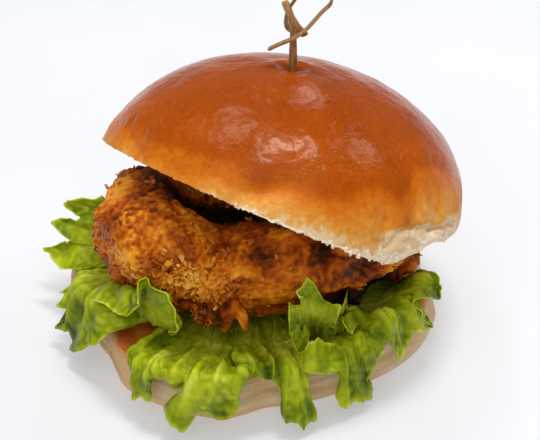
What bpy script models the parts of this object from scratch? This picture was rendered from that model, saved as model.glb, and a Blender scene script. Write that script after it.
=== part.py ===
"""Fish burger: crown of a sweet bun, crispy fish fillet, curly lettuce leaves,
bun heel and a knotted bamboo pick.  Metres, +Z up, origin in the middle of the
heel's flat underside.  Lengths below are in millimetres and add_mesh scales
them to metres."""

import math

import bmesh
import bpy
import numpy as np
from mathutils import Matrix, Vector, noise
from mathutils.bvhtree import BVHTree

MM = 0.001

# Heel: the flat lower half of the bun
HEEL_RX = 53.0
HEEL_RY = 53.8
HEEL_H = 14.0

# Crown: a domed bun cut by a slanting plane and set down tilted
CROWN_C = Vector((7.3, -4.0, 43.2))
CROWN_RX = 50.4
CROWN_RY = 48.9
CROWN_UP = 35.2
CROWN_DOWN = 16.0
CROWN_TILT = math.radians(16.9)
CROWN_ROLL = math.radians(7.4)
CUT_Z = -6.9
CUT_DX = -0.283
CUT_DY = -0.249
TORN_Z = -4.5
TORN_DY = -0.12

# Gaps between pieces that touch
GAP = 0.8

# Pick: a flat bamboo strip tied in a loop
PICK_X = 10.65
PICK_Y = 1.0
PICK_W = 2.3
PICK_T = 1.0
PICK_FOOT = 5.0
KNOT_Z = 88.6
HOLE_R = 1.9

LEAF_T = 1.0


def clear_scene():
    for obj in list(bpy.data.objects):
        bpy.data.objects.remove(obj, do_unlink=True)


def material(name, colour, rough, coat=0.0):
    mat = bpy.data.materials.new(name)
    mat.use_nodes = True
    shader = mat.node_tree.nodes["Principled BSDF"]
    shader.inputs["Base Color"].default_value = (*colour, 1.0)
    shader.inputs["Roughness"].default_value = rough
    shader.inputs["Metallic"].default_value = 0.0
    shader.inputs["Coat Weight"].default_value = coat
    mat.diffuse_color = (*colour, 1.0)
    return mat


def add_mesh(name, verts, faces, mat=None):
    """Make an object from millimetre points, with its faces turned outwards."""
    mesh = bpy.data.meshes.new(name)
    mesh.from_pydata([tuple(c * MM for c in v) for v in verts], [], faces)
    bm = bmesh.new()
    bm.from_mesh(mesh)
    bmesh.ops.triangulate(bm, faces=[f for f in bm.faces if len(f.verts) > 3])
    bmesh.ops.recalc_face_normals(bm, faces=bm.faces[:])
    bm.to_mesh(mesh)
    bm.free()
    mesh.shade_smooth()
    obj = bpy.data.objects.new(name, mesh)
    bpy.context.scene.collection.objects.link(obj)
    if mat is not None:
        mesh.materials.append(mat)
    return obj


def hide_as_cutter(obj):
    obj.hide_render = True
    obj.display_type = "WIRE"


def boolean(obj, other, operation):
    mod = obj.modifiers.new(operation.lower(), "BOOLEAN")
    mod.operation = operation
    mod.solver = "EXACT"
    mod.object = other
    return mod


def apply_modifiers(obj):
    deps = bpy.context.evaluated_depsgraph_get()
    mesh = bpy.data.meshes.new_from_object(obj.evaluated_get(deps))
    obj.modifiers.clear()
    obj.data = mesh
    mesh.shade_smooth()


def fuse(obj, extras):
    """Join small pieces to the one they grow from, with one union."""
    group = bpy.data.collections.new(obj.name + "_extras")
    for extra in extras:
        group.objects.link(extra)
    mod = obj.modifiers.new("fuse", "BOOLEAN")
    mod.operation = "UNION"
    mod.solver = "EXACT"
    mod.operand_type = "COLLECTION"
    mod.collection = group
    apply_modifiers(obj)
    for extra in extras:
        bpy.data.objects.remove(extra, do_unlink=True)
    bpy.data.collections.remove(group)


def smooth(a, b, x):
    """Ease from 0 at a to 1 at b, in either direction."""
    t = min(1.0, max(0.0, (x - a) / (b - a)))
    return t * t * (3.0 - 2.0 * t)


def bump(x, centre, width):
    return math.exp(-((x - centre) / width) ** 2)


def rough_at(p, size, seed):
    """Even noise in about -1..1 at a millimetre point."""
    q = Vector((p[0] / size + seed, p[1] / size - seed, p[2] / size + 0.5 * seed))
    return noise.noise(q)


def catmull(points, t):
    """Point at t (0..1) on an even spline through the given points."""
    n = len(points) - 1
    s = min(max(t, 0.0), 1.0) * n
    i = min(int(s), n - 1)
    f = s - i
    p1 = points[i]
    p2 = points[i + 1]
    p0 = points[i - 1] if i > 0 else 2.0 * p1 - p2
    p3 = points[i + 2] if i + 2 <= n else 2.0 * p2 - p1
    a = 2.0 * p1
    b = p2 - p0
    c = 2.0 * p0 - 5.0 * p1 + 4.0 * p2 - p3
    d = 3.0 * (p1 - p2) + p3 - p0
    return 0.5 * (a + b * f + c * f * f + d * f * f * f)


def polar(angle, radius, height):
    a = math.radians(angle)
    return Vector((radius * math.cos(a), radius * math.sin(a), height))


# ---------------------------------------------------------------- crown

CROWN_TURN = (Matrix.Rotation(-CROWN_TILT, 3, "X")
              @ Matrix.Rotation(CROWN_ROLL, 3, "Y"))


def crown_dome(az, phi):
    """Smooth dome in the bun's own frame, az and phi in radians."""
    height = CROWN_UP if phi > 0.0 else CROWN_DOWN
    return Vector((CROWN_RX * math.cos(phi) * math.cos(az),
                   CROWN_RY * math.cos(phi) * math.sin(az),
                   height * math.sin(phi)))


def cut_height(x, y):
    """Cut face: a slanting plane, with the bread torn away higher at the right."""
    az = math.degrees(math.atan2(y, x))
    r = math.hypot(x, y) / CROWN_RX
    torn = smooth(-54.0, -40.0, az) * smooth(95.0, 50.0, az) * smooth(0.3, 0.8, r)
    plane = CUT_Z + CUT_DX * x + CUT_DY * y
    high = TORN_Z + TORN_DY * y
    return plane + max(0.0, high - plane) * torn


def rim_phi(az):
    low = -0.5 * math.pi
    high = 0.5 * math.pi
    for _ in range(36):
        mid = 0.5 * (low + high)
        p = crown_dome(az, mid)
        if p.z > cut_height(p.x, p.y):
            high = mid
        else:
            low = mid
    return high


def crown_relief(az, phi, p):
    """Height of the crust over the smooth dome, in millimetres."""
    a = math.degrees(az)
    f = math.degrees(phi)
    h = 0.45 * rough_at(p, 21.0, 3.1) + 0.22 * rough_at(p, 9.0, 7.7)
    h -= 1.3 * bump(a, -97.0, 10.0) * bump(f, 22.0, 6.0)
    h -= 0.8 * bump(a, -57.0, 4.0) * bump(f, 15.0, 4.0)
    h -= 0.9 * bump(a, -150.0, 5.0) * bump(f, 20.0, 10.0)
    h += 0.7 * bump(a, -160.0, 6.0) * bump(f, 16.0, 8.0)
    h += 0.4 * math.sin(a * 0.55) * bump(a, -38.0, 22.0) * bump(f, 6.0, 14.0)
    return h


def crown_skin(az, s):
    """Outer crust, s = 0 at the cut edge and 1 at the pole."""
    edge = rim_phi(az)
    phi = edge + (0.5 * math.pi - edge) * s
    p = crown_dome(az, phi)
    outward = Vector((p.x / CROWN_RX ** 2, p.y / CROWN_RY ** 2,
                      p.z / (CROWN_UP if phi > 0.0 else CROWN_DOWN) ** 2))
    outward.normalize()
    return p + outward * crown_relief(az, phi, p)


def build_crown(mat):
    around = 54
    up = 13
    verts = []
    faces = []
    rim = []
    for i in range(around):
        az = 2.0 * math.pi * i / around
        rim.append(crown_skin(az, 0.0))
    middle = sum(rim, Vector()) / around
    middle.z = cut_height(middle.x, middle.y) + 2.0
    for k in range(up):
        s = k / up
        for i in range(around):
            az = 2.0 * math.pi * i / around
            verts.append(crown_skin(az, s))
    verts.append(crown_skin(0.0, 1.0))
    pole = len(verts) - 1
    inner = (0.94, 0.72, 0.44)
    for r in inner:
        for i in range(around):
            p = middle.lerp(rim[i], r)
            lift = 1.2 + 0.6 * rough_at(p, 7.0, 4.4) + 0.8 * (1.0 - r)
            p.z = cut_height(p.x, p.y) + lift
            verts.append(p)
    verts.append(middle)
    centre = len(verts) - 1
    for k in range(up - 1):
        for i in range(around):
            j = (i + 1) % around
            faces.append((k * around + i, k * around + j,
                          (k + 1) * around + j, (k + 1) * around + i))
    last = (up - 1) * around
    under = up * around + 1
    for i in range(around):
        j = (i + 1) % around
        faces.append((last + i, last + j, pole))
        faces.append((j, i, under + i, under + j))
        faces.append((under + 2 * around + j, under + 2 * around + i, centre))
        for k in range(2):
            a = under + k * around
            b = a + around
            faces.append((a + j, a + i, b + i, b + j))
    placed = [CROWN_TURN @ v + CROWN_C for v in verts]
    return add_mesh("crown", placed, faces, mat)


def under_crown(p):
    """Push a point down until it is clear below the crown's cut face."""
    q = CROWN_TURN.transposed() @ (Vector(p) - CROWN_C)
    limit = cut_height(q.x, q.y) - GAP
    inside = (q.x / CROWN_RX) ** 2 + (q.y / CROWN_RY) ** 2
    over = q.z - limit + 1.0
    if inside < 1.12 and 0.0 < over < 31.0:
        q.z = limit - 1.0 + 0.04 * over
    return CROWN_TURN @ q + CROWN_C


# ---------------------------------------------------------------- heel

def heel_reach(angle):
    """Share of the full radius: the heel is flatter at the front right and left."""
    a = math.degrees(math.atan2(math.sin(angle), math.cos(angle)))
    flat = 5.4 * smooth(-101.0, -84.0, a) * smooth(-18.0, -66.0, a)
    flat += 4.3 * smooth(-128.0, -146.0, a) * smooth(-172.0, -158.0, a)
    return 1.0 - flat / HEEL_RX


def heel_point(angle, r, z):
    r *= 1.0 - (1.0 - heel_reach(angle)) * smooth(0.3, 0.9, r)
    return Vector((HEEL_RX * r * math.cos(angle),
                   HEEL_RY * r * math.sin(angle), z))


def beside_heel(p, gap):
    """Move a point out from the heel's side, if it is low and too near."""
    r = math.hypot(p.x / HEEL_RX, p.y / HEEL_RY)
    r /= heel_reach(math.atan2(p.y / HEEL_RY, p.x / HEEL_RX))
    least = 1.0 + gap / 53.0
    near = smooth(HEEL_H + 3.5, HEEL_H + 0.5, p.z) * smooth(0.8, 0.9, r)
    if r < least and near > 0.0:
        k = 1.0 + (least / r - 1.0) * near
        p = Vector((p.x * k, p.y * k, p.z))
    return p


def build_heel(mat):
    around = 42
    profile = ((0.0, 0.0), (0.5, 0.0), (0.94, 0.0), (0.98, 1.0), (1.0, 3.4),
               (0.998, 6.5), (0.985, 10.0), (0.965, 12.8), (0.935, 14.0),
               (0.70, 13.8), (0.40, 13.6), (0.0, 13.6))
    verts = []
    rings = []
    for k, (r, z) in enumerate(profile):
        if r == 0.0:
            rings.append([len(verts)])
            verts.append(Vector((0.0, 0.0, z)))
            continue
        ring = []
        for i in range(around):
            angle = 2.0 * math.pi * i / around
            p = heel_point(angle, r, z)
            if z > 0.0:
                out = Vector((math.cos(angle), math.sin(angle), 0.0))
                side = smooth(0.0, 3.0, z) * smooth(0.6, 0.95, r)
                wave = rough_at((p.x, p.y, 3.0 * z), 16.0, 2.0)
                fold = rough_at((p.x, p.y, 1.6 * z), 6.5, 5.0)
                p += out * side * (0.7 * wave + 0.4 * fold)
                dent = bump(math.degrees(angle), 14.0, 16.0)
                p -= out * side * 3.0 * dent * smooth(4.0, 13.0, z)
                p.z += 0.35 * rough_at(p, 9.0, 8.0) * smooth(5.0, 12.0, z)
            ring.append(len(verts))
            verts.append(p)
        rings.append(ring)
    faces = []
    for a, b in zip(rings, rings[1:]):
        for i in range(around):
            j = (i + 1) % around
            if len(a) == 1:
                faces.append((a[0], b[j], b[i]))
            elif len(b) == 1:
                faces.append((a[i], a[j], b[0]))
            else:
                faces.append((a[i], a[j], b[j], b[i]))
    return add_mesh("heel", verts, faces, mat)


# ---------------------------------------------------------------- fillet

# x, middle y, middle z, half width, half height
FILLET = ((-45.5, -17.0, 36.0, 9.0, 8.5), (-36.5, -18.0, 37.0, 16.0, 17.0),
          (-20.0, -15.0, 36.0, 24.0, 18.5), (0.0, -13.5, 34.0, 27.0, 17.0),
          (20.0, -13.0, 31.0, 24.5, 14.5), (35.0, -13.0, 29.0, 18.0, 10.5),
          (44.5, -15.0, 28.5, 9.0, 7.5))
FILLET_LEAN = 0.28
FILLET_FLOOR = 18.0


def fillet_section(x):
    table = np.array(FILLET)
    i = int(np.clip(np.searchsorted(table[:, 0], x) - 1, 0, len(table) - 2))
    step = table[i + 1, 0] - table[i, 0]
    t = (i + min(max((x - table[i, 0]) / step, 0.0), 1.0)) / (len(table) - 1)
    rows = [Vector(row[1:]) for row in FILLET]
    return catmull(rows, t)


def build_fillet(mat):
    around = 34
    along = 33
    left = FILLET[0][0]
    right = FILLET[-1][0]
    verts = []
    rings = []
    for k in range(along + 1):
        s = -math.cos(math.pi * k / along)
        x = 0.5 * (left + right) + 0.5 * (right - left) * s
        close = (1.0 - abs(s) ** 9.0) ** 0.5
        yc, zc, hw, hh = fillet_section(x)
        if k in (0, along):
            rings.append([len(verts)])
            verts.append(Vector((x, yc, zc)))
            continue
        ring = []
        for i in range(around):
            b = 2.0 * math.pi * i / around
            c = math.copysign(abs(math.cos(b)) ** 0.7, math.cos(b))
            d = math.copysign(abs(math.sin(b)) ** 0.7, math.sin(b))
            y = yc + hw * close * c - FILLET_LEAN * hh * close * d
            p = Vector((x, y, zc + hh * close * d))
            out = Vector((0.6 * s, c, 1.2 * d)).normalized()
            crag = 2.6 * rough_at(p, 12.0, 1.3) + 2.8 * abs(rough_at(p, 6.0, 6.1))
            crag *= 1.0 - 0.7 * smooth(-2.0, 8.0, p.y)
            p += out * (crag - 0.8)
            p = under_crown(p)
            hollow = bump(p.x, -9.0, 10.5) * smooth(0.0, 0.7, d)
            p.z -= 6.5 * hollow * smooth(-4.0, -16.0, p.y)
            low = FILLET_FLOOR + 0.35 * rough_at(p, 6.0, 9.0)
            low += 7.0 * smooth(25.0, 36.0, p.x) * smooth(-14.0, -24.0, p.y)
            if p.z < low:
                p.z = low + 0.08 * (p.z - low)
            p.z = max(p.z, FILLET_FLOOR - 0.8)
            ring.append(len(verts))
            verts.append(p)
        rings.append(ring)
    faces = []
    for a, b in zip(rings, rings[1:]):
        for i in range(around):
            j = (i + 1) % around
            if len(a) == 1:
                faces.append((a[0], b[j], b[i]))
            elif len(b) == 1:
                faces.append((a[i], a[j], b[0]))
            else:
                faces.append((a[i], a[j], b[j], b[i]))
    return add_mesh("fish_fillet", verts, faces, mat)


# Crumbs standing out of the batter: middle, half sizes, turn about Z
CRUMBS = ((Vector((-7.0, -36.0, 23.5)), Vector((2.2, 2.6, 5.3)), 20.0),
          (Vector((-12.5, -35.5, 25.0)), Vector((4.2, 4.4, 5.0)), 0.0),
          (Vector((31.0, -26.5, 32.0)), Vector((6.0, 5.0, 6.5)), -30.0),
          (Vector((22.0, -31.0, 26.5)), Vector((5.6, 4.6, 5.0)), 15.0))


def build_crumbs():
    crumbs = []
    for k, (middle, half, turn) in enumerate(CRUMBS):
        bm = bmesh.new()
        bmesh.ops.create_icosphere(bm, subdivisions=2, radius=1.0)
        turned = Matrix.Rotation(math.radians(turn), 3, "Z")
        for v in bm.verts:
            swell = 1.0 + 0.35 * rough_at(v.co * 6.0 + middle, 5.0, 2.2)
            v.co = turned @ Vector([a * b * swell for a, b in zip(v.co, half)])
        verts = [v.co + middle for v in bm.verts]
        faces = [tuple(v.index for v in f.verts) for f in bm.faces]
        bm.free()
        crumbs.append(add_mesh("crumb_%d" % k, verts, faces))
    return crumbs


# ---------------------------------------------------------------- lettuce

# Each leaf: root angle range, root radius, root height, then one row for each
# rib: crest angle, radius, height, and margin angle, radius, height.
LEAVES = {
    "lettuce_left_back": (
        (-176, 164, 26, 15.3),
        ((-171, 44, 17, -171, 49, 18),
         (-174, 47, 18, -175, 56, 16),
         (-178, 48, 19, -179, 59, 17),
         (-180, 48, 19.5, 179.6, 61, 18.5),
         (-180, 48, 20, -179.8, 54, 19.5),
         (179, 48, 20.5, 179, 51, 21),
         (177.5, 48, 21, 176, 56, 20.5),
         (176, 47, 22, 171.5, 60, 22.5),
         (174.5, 46, 23, 173.5, 53, 23.5),
         (173, 45, 24, 172, 50.5, 25),
         (171.5, 43.5, 25.5, 167.5, 57, 25),
         (170, 42, 26.5, 166.5, 58, 26.5),
         (169.5, 41, 27.5, 169, 49, 29.5),
         (169, 40, 28, 171, 44, 32))),
    "lettuce_left": (
        (-172, -132, 28, 15.3),
        ((-167, 46, 18, -166, 50, 18),
         (-164, 49, 18, -164, 53, 17.5),
         (-163, 50, 18, -163, 57, 15.5),
         (-160, 50, 18, -160, 53.5, 14.5),
         (-158.5, 50.5, 18, -161, 58, 12.5),
         (-156, 51, 18, -156, 54, 13),
         (-155, 51.5, 18, -160, 59, 6),
         (-152, 52, 18, -155.5, 57, 7),
         (-149, 52.5, 18, -152, 58, 4.5),
         (-145, 53, 18, -146, 57.5, 6),
         (-141, 53, 18, -140.5, 57, 9.5),
         (-137, 52.5, 18, -136, 55.5, 14.5),
         (-132, 50.5, 18, -131.5, 53, 17.5),
         (-130, 46, 17, -130, 48, 17))),    "lettuce_left_inner": (
        (-166, -128, 39.2, 17.0),
        ((-168, 45, 22, -166, 50, 24),
         (-161, 45.5, 24, -160, 51, 23),
         (-155, 46.5, 26, -155, 49, 28),
         (-150, 46, 26, -148, 51, 23),
         (-146, 45.5, 27, -145, 48, 28),
         (-141, 45, 28, -141, 51, 23),
         (-137, 43.5, 28, -136, 48, 28),
         (-132, 43, 27, -134, 50, 23),
         (-128, 41, 26, -129, 46, 26),
         (-123, 41, 24, -122, 46, 23),
         (-119, 41, 22, -118, 45, 21))),
    "lettuce_front_left": (
        (-128, -98, 28, 15.3),
        ((-125, 46, 18, -125, 47, 19.5),
         (-124.5, 50, 18, -126, 54, 17.5),
         (-125, 53, 18, -128, 57, 14.5),
         (-124, 55, 18.5, -125.5, 57.5, 8),
         (-122, 56, 18, -124, 58, 4.2),
         (-120, 56.5, 18, -121, 57.5, 6.5),
         (-118.5, 57, 18, -118, 58, 5.5),
         (-117, 57, 18.5, -118, 57.5, 11),
         (-115.5, 57, 19, -116, 57, 15),
         (-112.5, 57, 19.5, -112.5, 57, 17),
         (-110.5, 57, 20, -110.5, 57.5, 14),
         (-108, 57, 20, -107.5, 57, 15.5),
         (-106.5, 57, 20, -106.5, 57.5, 12.5),
         (-105.5, 57.5, 20, -110.5, 59.5, 5.5),
         (-105, 58, 20, -107.5, 60, 2.8),
         (-103.5, 58, 20, -104.3, 58.5, 7.5),
         (-101, 58, 20.5, -101.5, 58, 6.8),
         (-98, 58, 21, -97.5, 58, 6.5),
         (-95, 58, 21, -93.8, 58, 8.5),
         (-93.5, 57, 21.5, -93, 57.5, 14),
         (-93, 54, 21.5, -92.8, 57, 18.5))),
    "lettuce_front": (
        (-93, -78, 28, 15.3),
        ((-91, 49, 22, -91, 53, 22),
         (-89, 52, 22, -89, 54.5, 19),
         (-86, 52.5, 21, -86, 54, 16),
         (-84, 53, 21, -83.5, 54.5, 14.5),
         (-82, 53.5, 20, -82.5, 56, 8),
         (-80.5, 54, 20, -81, 57.5, 4),
         (-78.5, 54, 20, -78, 58, 2),
         (-77, 54, 20, -75.5, 58, 2),
         (-76, 54, 20, -74.3, 56, 6),
         (-76, 53.5, 20, -76, 54.5, 11),
         (-76, 52.5, 20, -76, 54, 15),
         (-75, 50, 20, -75, 53, 19))),    "lettuce_curl": (
        (-83, -73, 38, 17.2),
        ((-82, 48, 26, -80, 53, 31),
         (-80, 48, 29, -79, 50, 38),
         (-77, 48, 28, -77, 49, 34),
         (-75, 47, 29, -75, 47, 38),
         (-72, 46, 30, -72, 46, 43),
         (-69, 46, 29, -69, 47, 39),
         (-66, 46, 28, -66, 47, 35),
         (-63, 46, 27, -62, 47, 32),
         (-61, 45, 26, -61, 48, 29))),
   "lettuce_fold": (
        (-70.5, -65, 40, 16.6),
        ((-75, 51, 25, -77, 55, 25),
         (-74, 52, 27, -75.5, 56, 22.5),
         (-72, 52.5, 28.5, -73, 57, 21),
         (-70, 52.5, 29, -70, 57.5, 20.6),
         (-68, 52.5, 28.5, -67, 57.5, 21),
         (-66, 51.5, 27, -66, 56.5, 23))),    "lettuce_right_front": (
        (-61, -49, 30, 15.2),
        ((-67.5, 50, 17.4, -66.5, 53.5, 16),
         (-66, 52, 17.8, -65, 54.5, 12),
         (-65, 53, 18.5, -65, 55.5, 9),
         (-64, 53.5, 18.5, -65, 57, 3.5),
         (-63, 54, 18.5, -62.5, 57, 4.2),
         (-61, 54, 18.5, -60.6, 57, 4.2),
         (-60, 54, 18.5, -58.3, 57.5, 3),
         (-59, 54, 19, -55.8, 58, 2),
         (-58, 54, 19.5, -54.3, 56.5, 5),
         (-57.5, 54, 19.5, -56.3, 55.5, 9),
         (-57, 53.5, 19.5, -55.5, 56, 14),
         (-56, 51, 19.5, -54.5, 55.5, 18))),    "lettuce_frond": (
        (-58, -49, 36, 16.9),
        ((-59, 48, 21, -60, 51.5, 26),
         (-57, 46, 24, -56, 48, 30.5),
         (-55, 45, 24, -54, 48, 26),
         (-53, 44, 24, -52, 46, 28),
         (-50, 43, 22, -49, 46, 24),
         (-47, 42, 20, -45, 48, 23))),    "lettuce_right": (
        (-46, -14, 29, 15.3),
        ((-52, 50, 19.5, -52.5, 55, 20),
         (-50, 52, 20, -50, 55.5, 17),
         (-47.5, 53, 20, -47, 56, 11),
         (-44.5, 53, 20, -44.5, 56, 12),
         (-42, 53, 20, -41, 55.5, 14),
         (-38, 53, 20, -37.5, 56, 15.5),
         (-34, 53, 20, -33, 57, 13),
         (-30.5, 52.5, 20, -27.5, 57, 9.5),
         (-28.5, 52, 20, -28, 56, 14),
         (-28, 51, 21, -28.5, 55, 18),
         (-26, 50, 22, -25, 56.5, 17),
         (-22.5, 50, 23, -22, 57.5, 17.5),
         (-20, 49, 24.5, -20.5, 56, 20),
         (-18, 47, 25, -22, 54, 24),
         (-16, 44, 25, -23, 50.5, 26))),    "lettuce_right_back": (
        (14, 50, 26, 15.3),
        ((14, 40, 17, 14, 44, 16),
         (18, 41, 18, 18, 47, 16),
         (23, 43, 18, 23, 46, 18),
         (28, 46, 18, 28, 52, 16),
         (34, 47, 19, 34, 50, 19),
         (42, 47, 19, 42, 54, 14),
         (50, 45, 18, 50, 48, 18))),
    "lettuce_back": (
        (66, 128, 27, 15.3),
        ((62, 42, 18, 60, 48, 16),
         (72, 44, 20, 70, 52, 11),
         (82, 45, 20, 83, 50, 16),
         (92, 46, 21, 92, 53, 12),
         (102, 46, 20, 102, 50, 17),
         (112, 47, 20, 114, 54, 10),
         (122, 46, 19, 124, 52, 16))),
}


def unwrap(a, near):
    while a - near > 180.0:
        a -= 360.0
    while a - near < -180.0:
        a += 360.0
    return a


def leaf_point(spec, u, v):
    """Sheet of a leaf: u runs across it, v from the root to the margin."""
    (a0, a1, r0, z0), rows = spec
    ribs = []
    a1 = unwrap(a1, a0)
    for k, (ca, cr, cz, ma, mr, mz) in enumerate(rows):
        t = k / (len(rows) - 1)
        ra = a0 + (a1 - a0) * t
        ca = unwrap(ca, ra)
        ma = unwrap(ma, ca)
        root = Vector((ra, r0, z0))
        mid = Vector((0.5 * (ra + ca), 0.5 * (r0 + cr), z0 + 0.15 * (cz - z0)))
        ribs.append((root, mid, Vector((ca, cr, cz)), Vector((ma, mr, mz))))
    across = [catmull([rib[k] for rib in ribs], u) for k in range(4)]
    xyz = [polar(*p) for p in across]
    return catmull(xyz, v)


def leaf_ruffle(p, u, v, seed):
    grow = smooth(0.45, 1.0, v)
    return grow * (2.0 * rough_at(p, 9.0, seed) + 1.0 * rough_at(p, 5.0, seed + 3.0))


def leaf_sheet(spec, nu, nv, seed):
    grid = []
    for j in range(nv + 1):
        v = (j / nv) ** 0.8
        grid.append([leaf_point(spec, i / nu, v) for i in range(nu + 1)])
    for _ in range(1):
        normals = sheet_normals(grid)
        for j in range(nv + 1):
            v = (j / nv) ** 0.8
            for i in range(nu + 1):
                p = grid[j][i]
                p += normals[j][i] * leaf_ruffle(p, i / nu, v, seed)
    return grid


def sheet_normals(grid):
    nv = len(grid) - 1
    nu = len(grid[0]) - 1
    out = []
    for j in range(nv + 1):
        row = []
        for i in range(nu + 1):
            du = grid[j][min(i + 1, nu)] - grid[j][max(i - 1, 0)]
            dv = grid[min(j + 1, nv)][i] - grid[max(j - 1, 0)][i]
            n = dv.cross(du)
            row.append(n.normalized() if n.length > 1e-9 else Vector((0, 0, 1)))
        out.append(row)
    return out


def surface_of(obj):
    """Search tree over an object's evaluated faces, in millimetres."""
    deps = bpy.context.evaluated_depsgraph_get()
    mesh = obj.evaluated_get(deps).to_mesh()
    points = [v.co / MM for v in mesh.vertices]
    faces = [tuple(p.vertices) for p in mesh.polygons]
    return BVHTree.FromPolygons(points, faces)


def clear_of(p, solids):
    """Move a point out until it keeps a gap from the pieces already there."""
    for tree, thick, gap in solids:
        near, normal, _, dist = tree.find_nearest(p)
        away = p - near
        if away.dot(normal) < 0.0:
            if dist < thick:
                p = near + normal * gap
        elif dist < gap:
            p = near + (away.normalized() if dist > 0.05 else normal) * gap
    return p


def build_leaf(name, spec, mat, seed, solids):
    nu = max(9, len(spec[1]))
    nv = 10
    grid = leaf_sheet(spec, nu, nv, seed)
    for row in grid:
        for i, p in enumerate(row):
            row[i] = clear_of(p, solids)
    normals = sheet_normals(grid)
    top = []
    low = []
    for j in range(nv + 1):
        for i in range(nu + 1):
            half = 0.5 * LEAF_T * (1.0 - 0.35 * smooth(0.7, 1.0, j / nv))
            top.append(grid[j][i] + normals[j][i] * half)
            low.append(grid[j][i] - normals[j][i] * half)
    for sheet, gap in ((top, 2.0), (low, 1.0)):
        for k, p in enumerate(sheet):
            sheet[k] = beside_heel(p, gap)
            sheet[k].z = max(sheet[k].z, 0.5)
    count = len(top)
    wide = nu + 1
    faces = []
    for j in range(nv):
        for i in range(nu):
            a = j * wide + i
            b = a + 1
            c = a + wide + 1
            d = a + wide
            if (i + j) % 2:
                tris = ((a, b, c), (a, c, d))
            else:
                tris = ((a, b, d), (b, c, d))
            for t in tris:
                faces.append(t)
                faces.append(tuple(count + q for q in reversed(t)))
    border = [i for i in range(nu)]
    border += [j * wide + nu for j in range(nv)]
    border += [nv * wide + nu - i for i in range(nu)]
    border += [(nv - j) * wide for j in range(nv)]
    for k, a in enumerate(border):
        b = border[(k + 1) % len(border)]
        faces.append((a, count + a, count + b))
        faces.append((a, count + b, b))
    return add_mesh(name, top + low, faces, mat)


# ---------------------------------------------------------------- pick

KNOT = ((0.0, 0.0, -3.0), (0.0, 0.3, 0.0), (-0.6, 0.8, 4.0), (-1.8, 0.6, 7.6),
        (-2.2, -0.4, 8.6), (-1.2, -1.6, 6.5), (0.8, -2.0, 3.0), (2.6, -1.5, 0.4),
        (3.0, 0.0, -0.9), (1.2, 1.7, -1.2), (-1.6, 1.8, 0.5), (-1.5, 2.1, 4.5),
        (0.5, 1.7, 8.5), (3.0, 0.8, 11.8), (6.5, 0.0, 13.4), (9.3, -0.6, 11.5),
        (9.6, -0.8, 8.8), (7.2, -1.2, 6.2), (3.4, -2.9, 2.4), (0.0, -3.2, -0.2),
        (-3.2, -2.0, -2.4), (-6.3, -1.2, -4.5))


def build_pick(mat):
    base = Vector((PICK_X, PICK_Y, KNOT_Z))
    path = [Vector((PICK_X, PICK_Y, PICK_FOOT))]
    path.append(Vector((PICK_X, PICK_Y, 30.0)))
    path.append(Vector((PICK_X, PICK_Y, 60.0)))
    path.append(Vector((PICK_X, PICK_Y, 80.0)))
    knot = [base + Vector(p) for p in KNOT]
    steps = 2 * (len(knot) - 1)
    curve = [catmull(knot, k / steps) for k in range(steps + 1)]
    path += curve
    side = Vector((1.0, 0.0, 0.0))
    verts = []
    corners = ((-1.0, 0.0), (-0.8, -1.0), (0.8, -1.0), (1.0, 0.0), (0.8, 1.0), (-0.8, 1.0))
    for k, p in enumerate(path):
        ahead = path[min(k + 1, len(path) - 1)]
        behind = path[max(k - 1, 0)]
        tangent = (ahead - behind).normalized()
        side = (side - tangent * side.dot(tangent)).normalized()
        flat = tangent.cross(side)
        loop = smooth(78.0, 90.0, p.z) if k < 5 else 1.0
        w = 0.5 * (PICK_W + (1.75 - PICK_W) * loop)
        t = 0.5 * (PICK_T + (0.85 - PICK_T) * loop)
        if k == 0:
            w *= 0.5
            t *= 0.5
        for a, b in corners:
            verts.append(p + side * (a * w) + flat * (b * t))
    m = len(corners)
    faces = []
    for k in range(len(path) - 1):
        for i in range(m):
            j = (i + 1) % m
            faces.append((k * m + i, k * m + j, (k + 1) * m + j, (k + 1) * m + i))
    faces.append(tuple(range(m - 1, -1, -1)))
    faces.append(tuple((len(path) - 1) * m + i for i in range(m)))
    return add_mesh("pick", verts, faces, mat)


def hole_cutter(name, low, high):
    sides = 10
    verts = []
    for z in (low, high):
        for i in range(sides):
            a = 2.0 * math.pi * (i + 0.5) / sides
            verts.append(Vector((PICK_X + HOLE_R * math.cos(a),
                                 PICK_Y + HOLE_R * math.sin(a), z)))
    faces = [(i, (i + 1) % sides, sides + (i + 1) % sides, sides + i)
             for i in range(sides)]
    faces.append(tuple(range(sides - 1, -1, -1)))
    faces.append(tuple(range(sides, 2 * sides)))
    cutter = add_mesh(name, verts, faces)
    hide_as_cutter(cutter)
    return cutter


def main():
    clear_scene()
    crust = material("bun_crust", (0.46, 0.15, 0.03), 0.38, 0.2)
    crumb = material("bun_side", (0.60, 0.44, 0.25), 0.75)
    batter = material("fried_crumb", (0.38, 0.13, 0.02), 0.65)
    green = material("lettuce", (0.26, 0.30, 0.03), 0.45)
    bamboo = material("bamboo", (0.40, 0.25, 0.10), 0.55)

    heel = build_heel(crumb)
    boolean(heel, hole_cutter("hole_heel", PICK_FOOT - 1.0, 30.0), "DIFFERENCE")
    crown = build_crown(crust)
    boolean(crown, hole_cutter("hole_crown", 15.0, 95.0), "DIFFERENCE")
    fillet = build_fillet(batter)
    fuse(fillet, build_crumbs())
    boolean(fillet, hole_cutter("hole_fillet", 10.0, 60.0), "DIFFERENCE")
    solids = [(surface_of(fillet), 8.0, 3.1), (surface_of(crown), 3.0, 1.2)]
    for k, (name, spec) in enumerate(LEAVES.items()):
        leaf = build_leaf(name, spec, green, 11.0 + 5.0 * k, solids)
        solids.append((surface_of(leaf), 0.6, 1.5))
    build_pick(bamboo)


main()
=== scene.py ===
import random
from math import (asin, atan2, copysign, cos, degrees, exp, hypot, pi, radians, sin,
                  sqrt, tau)

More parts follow.
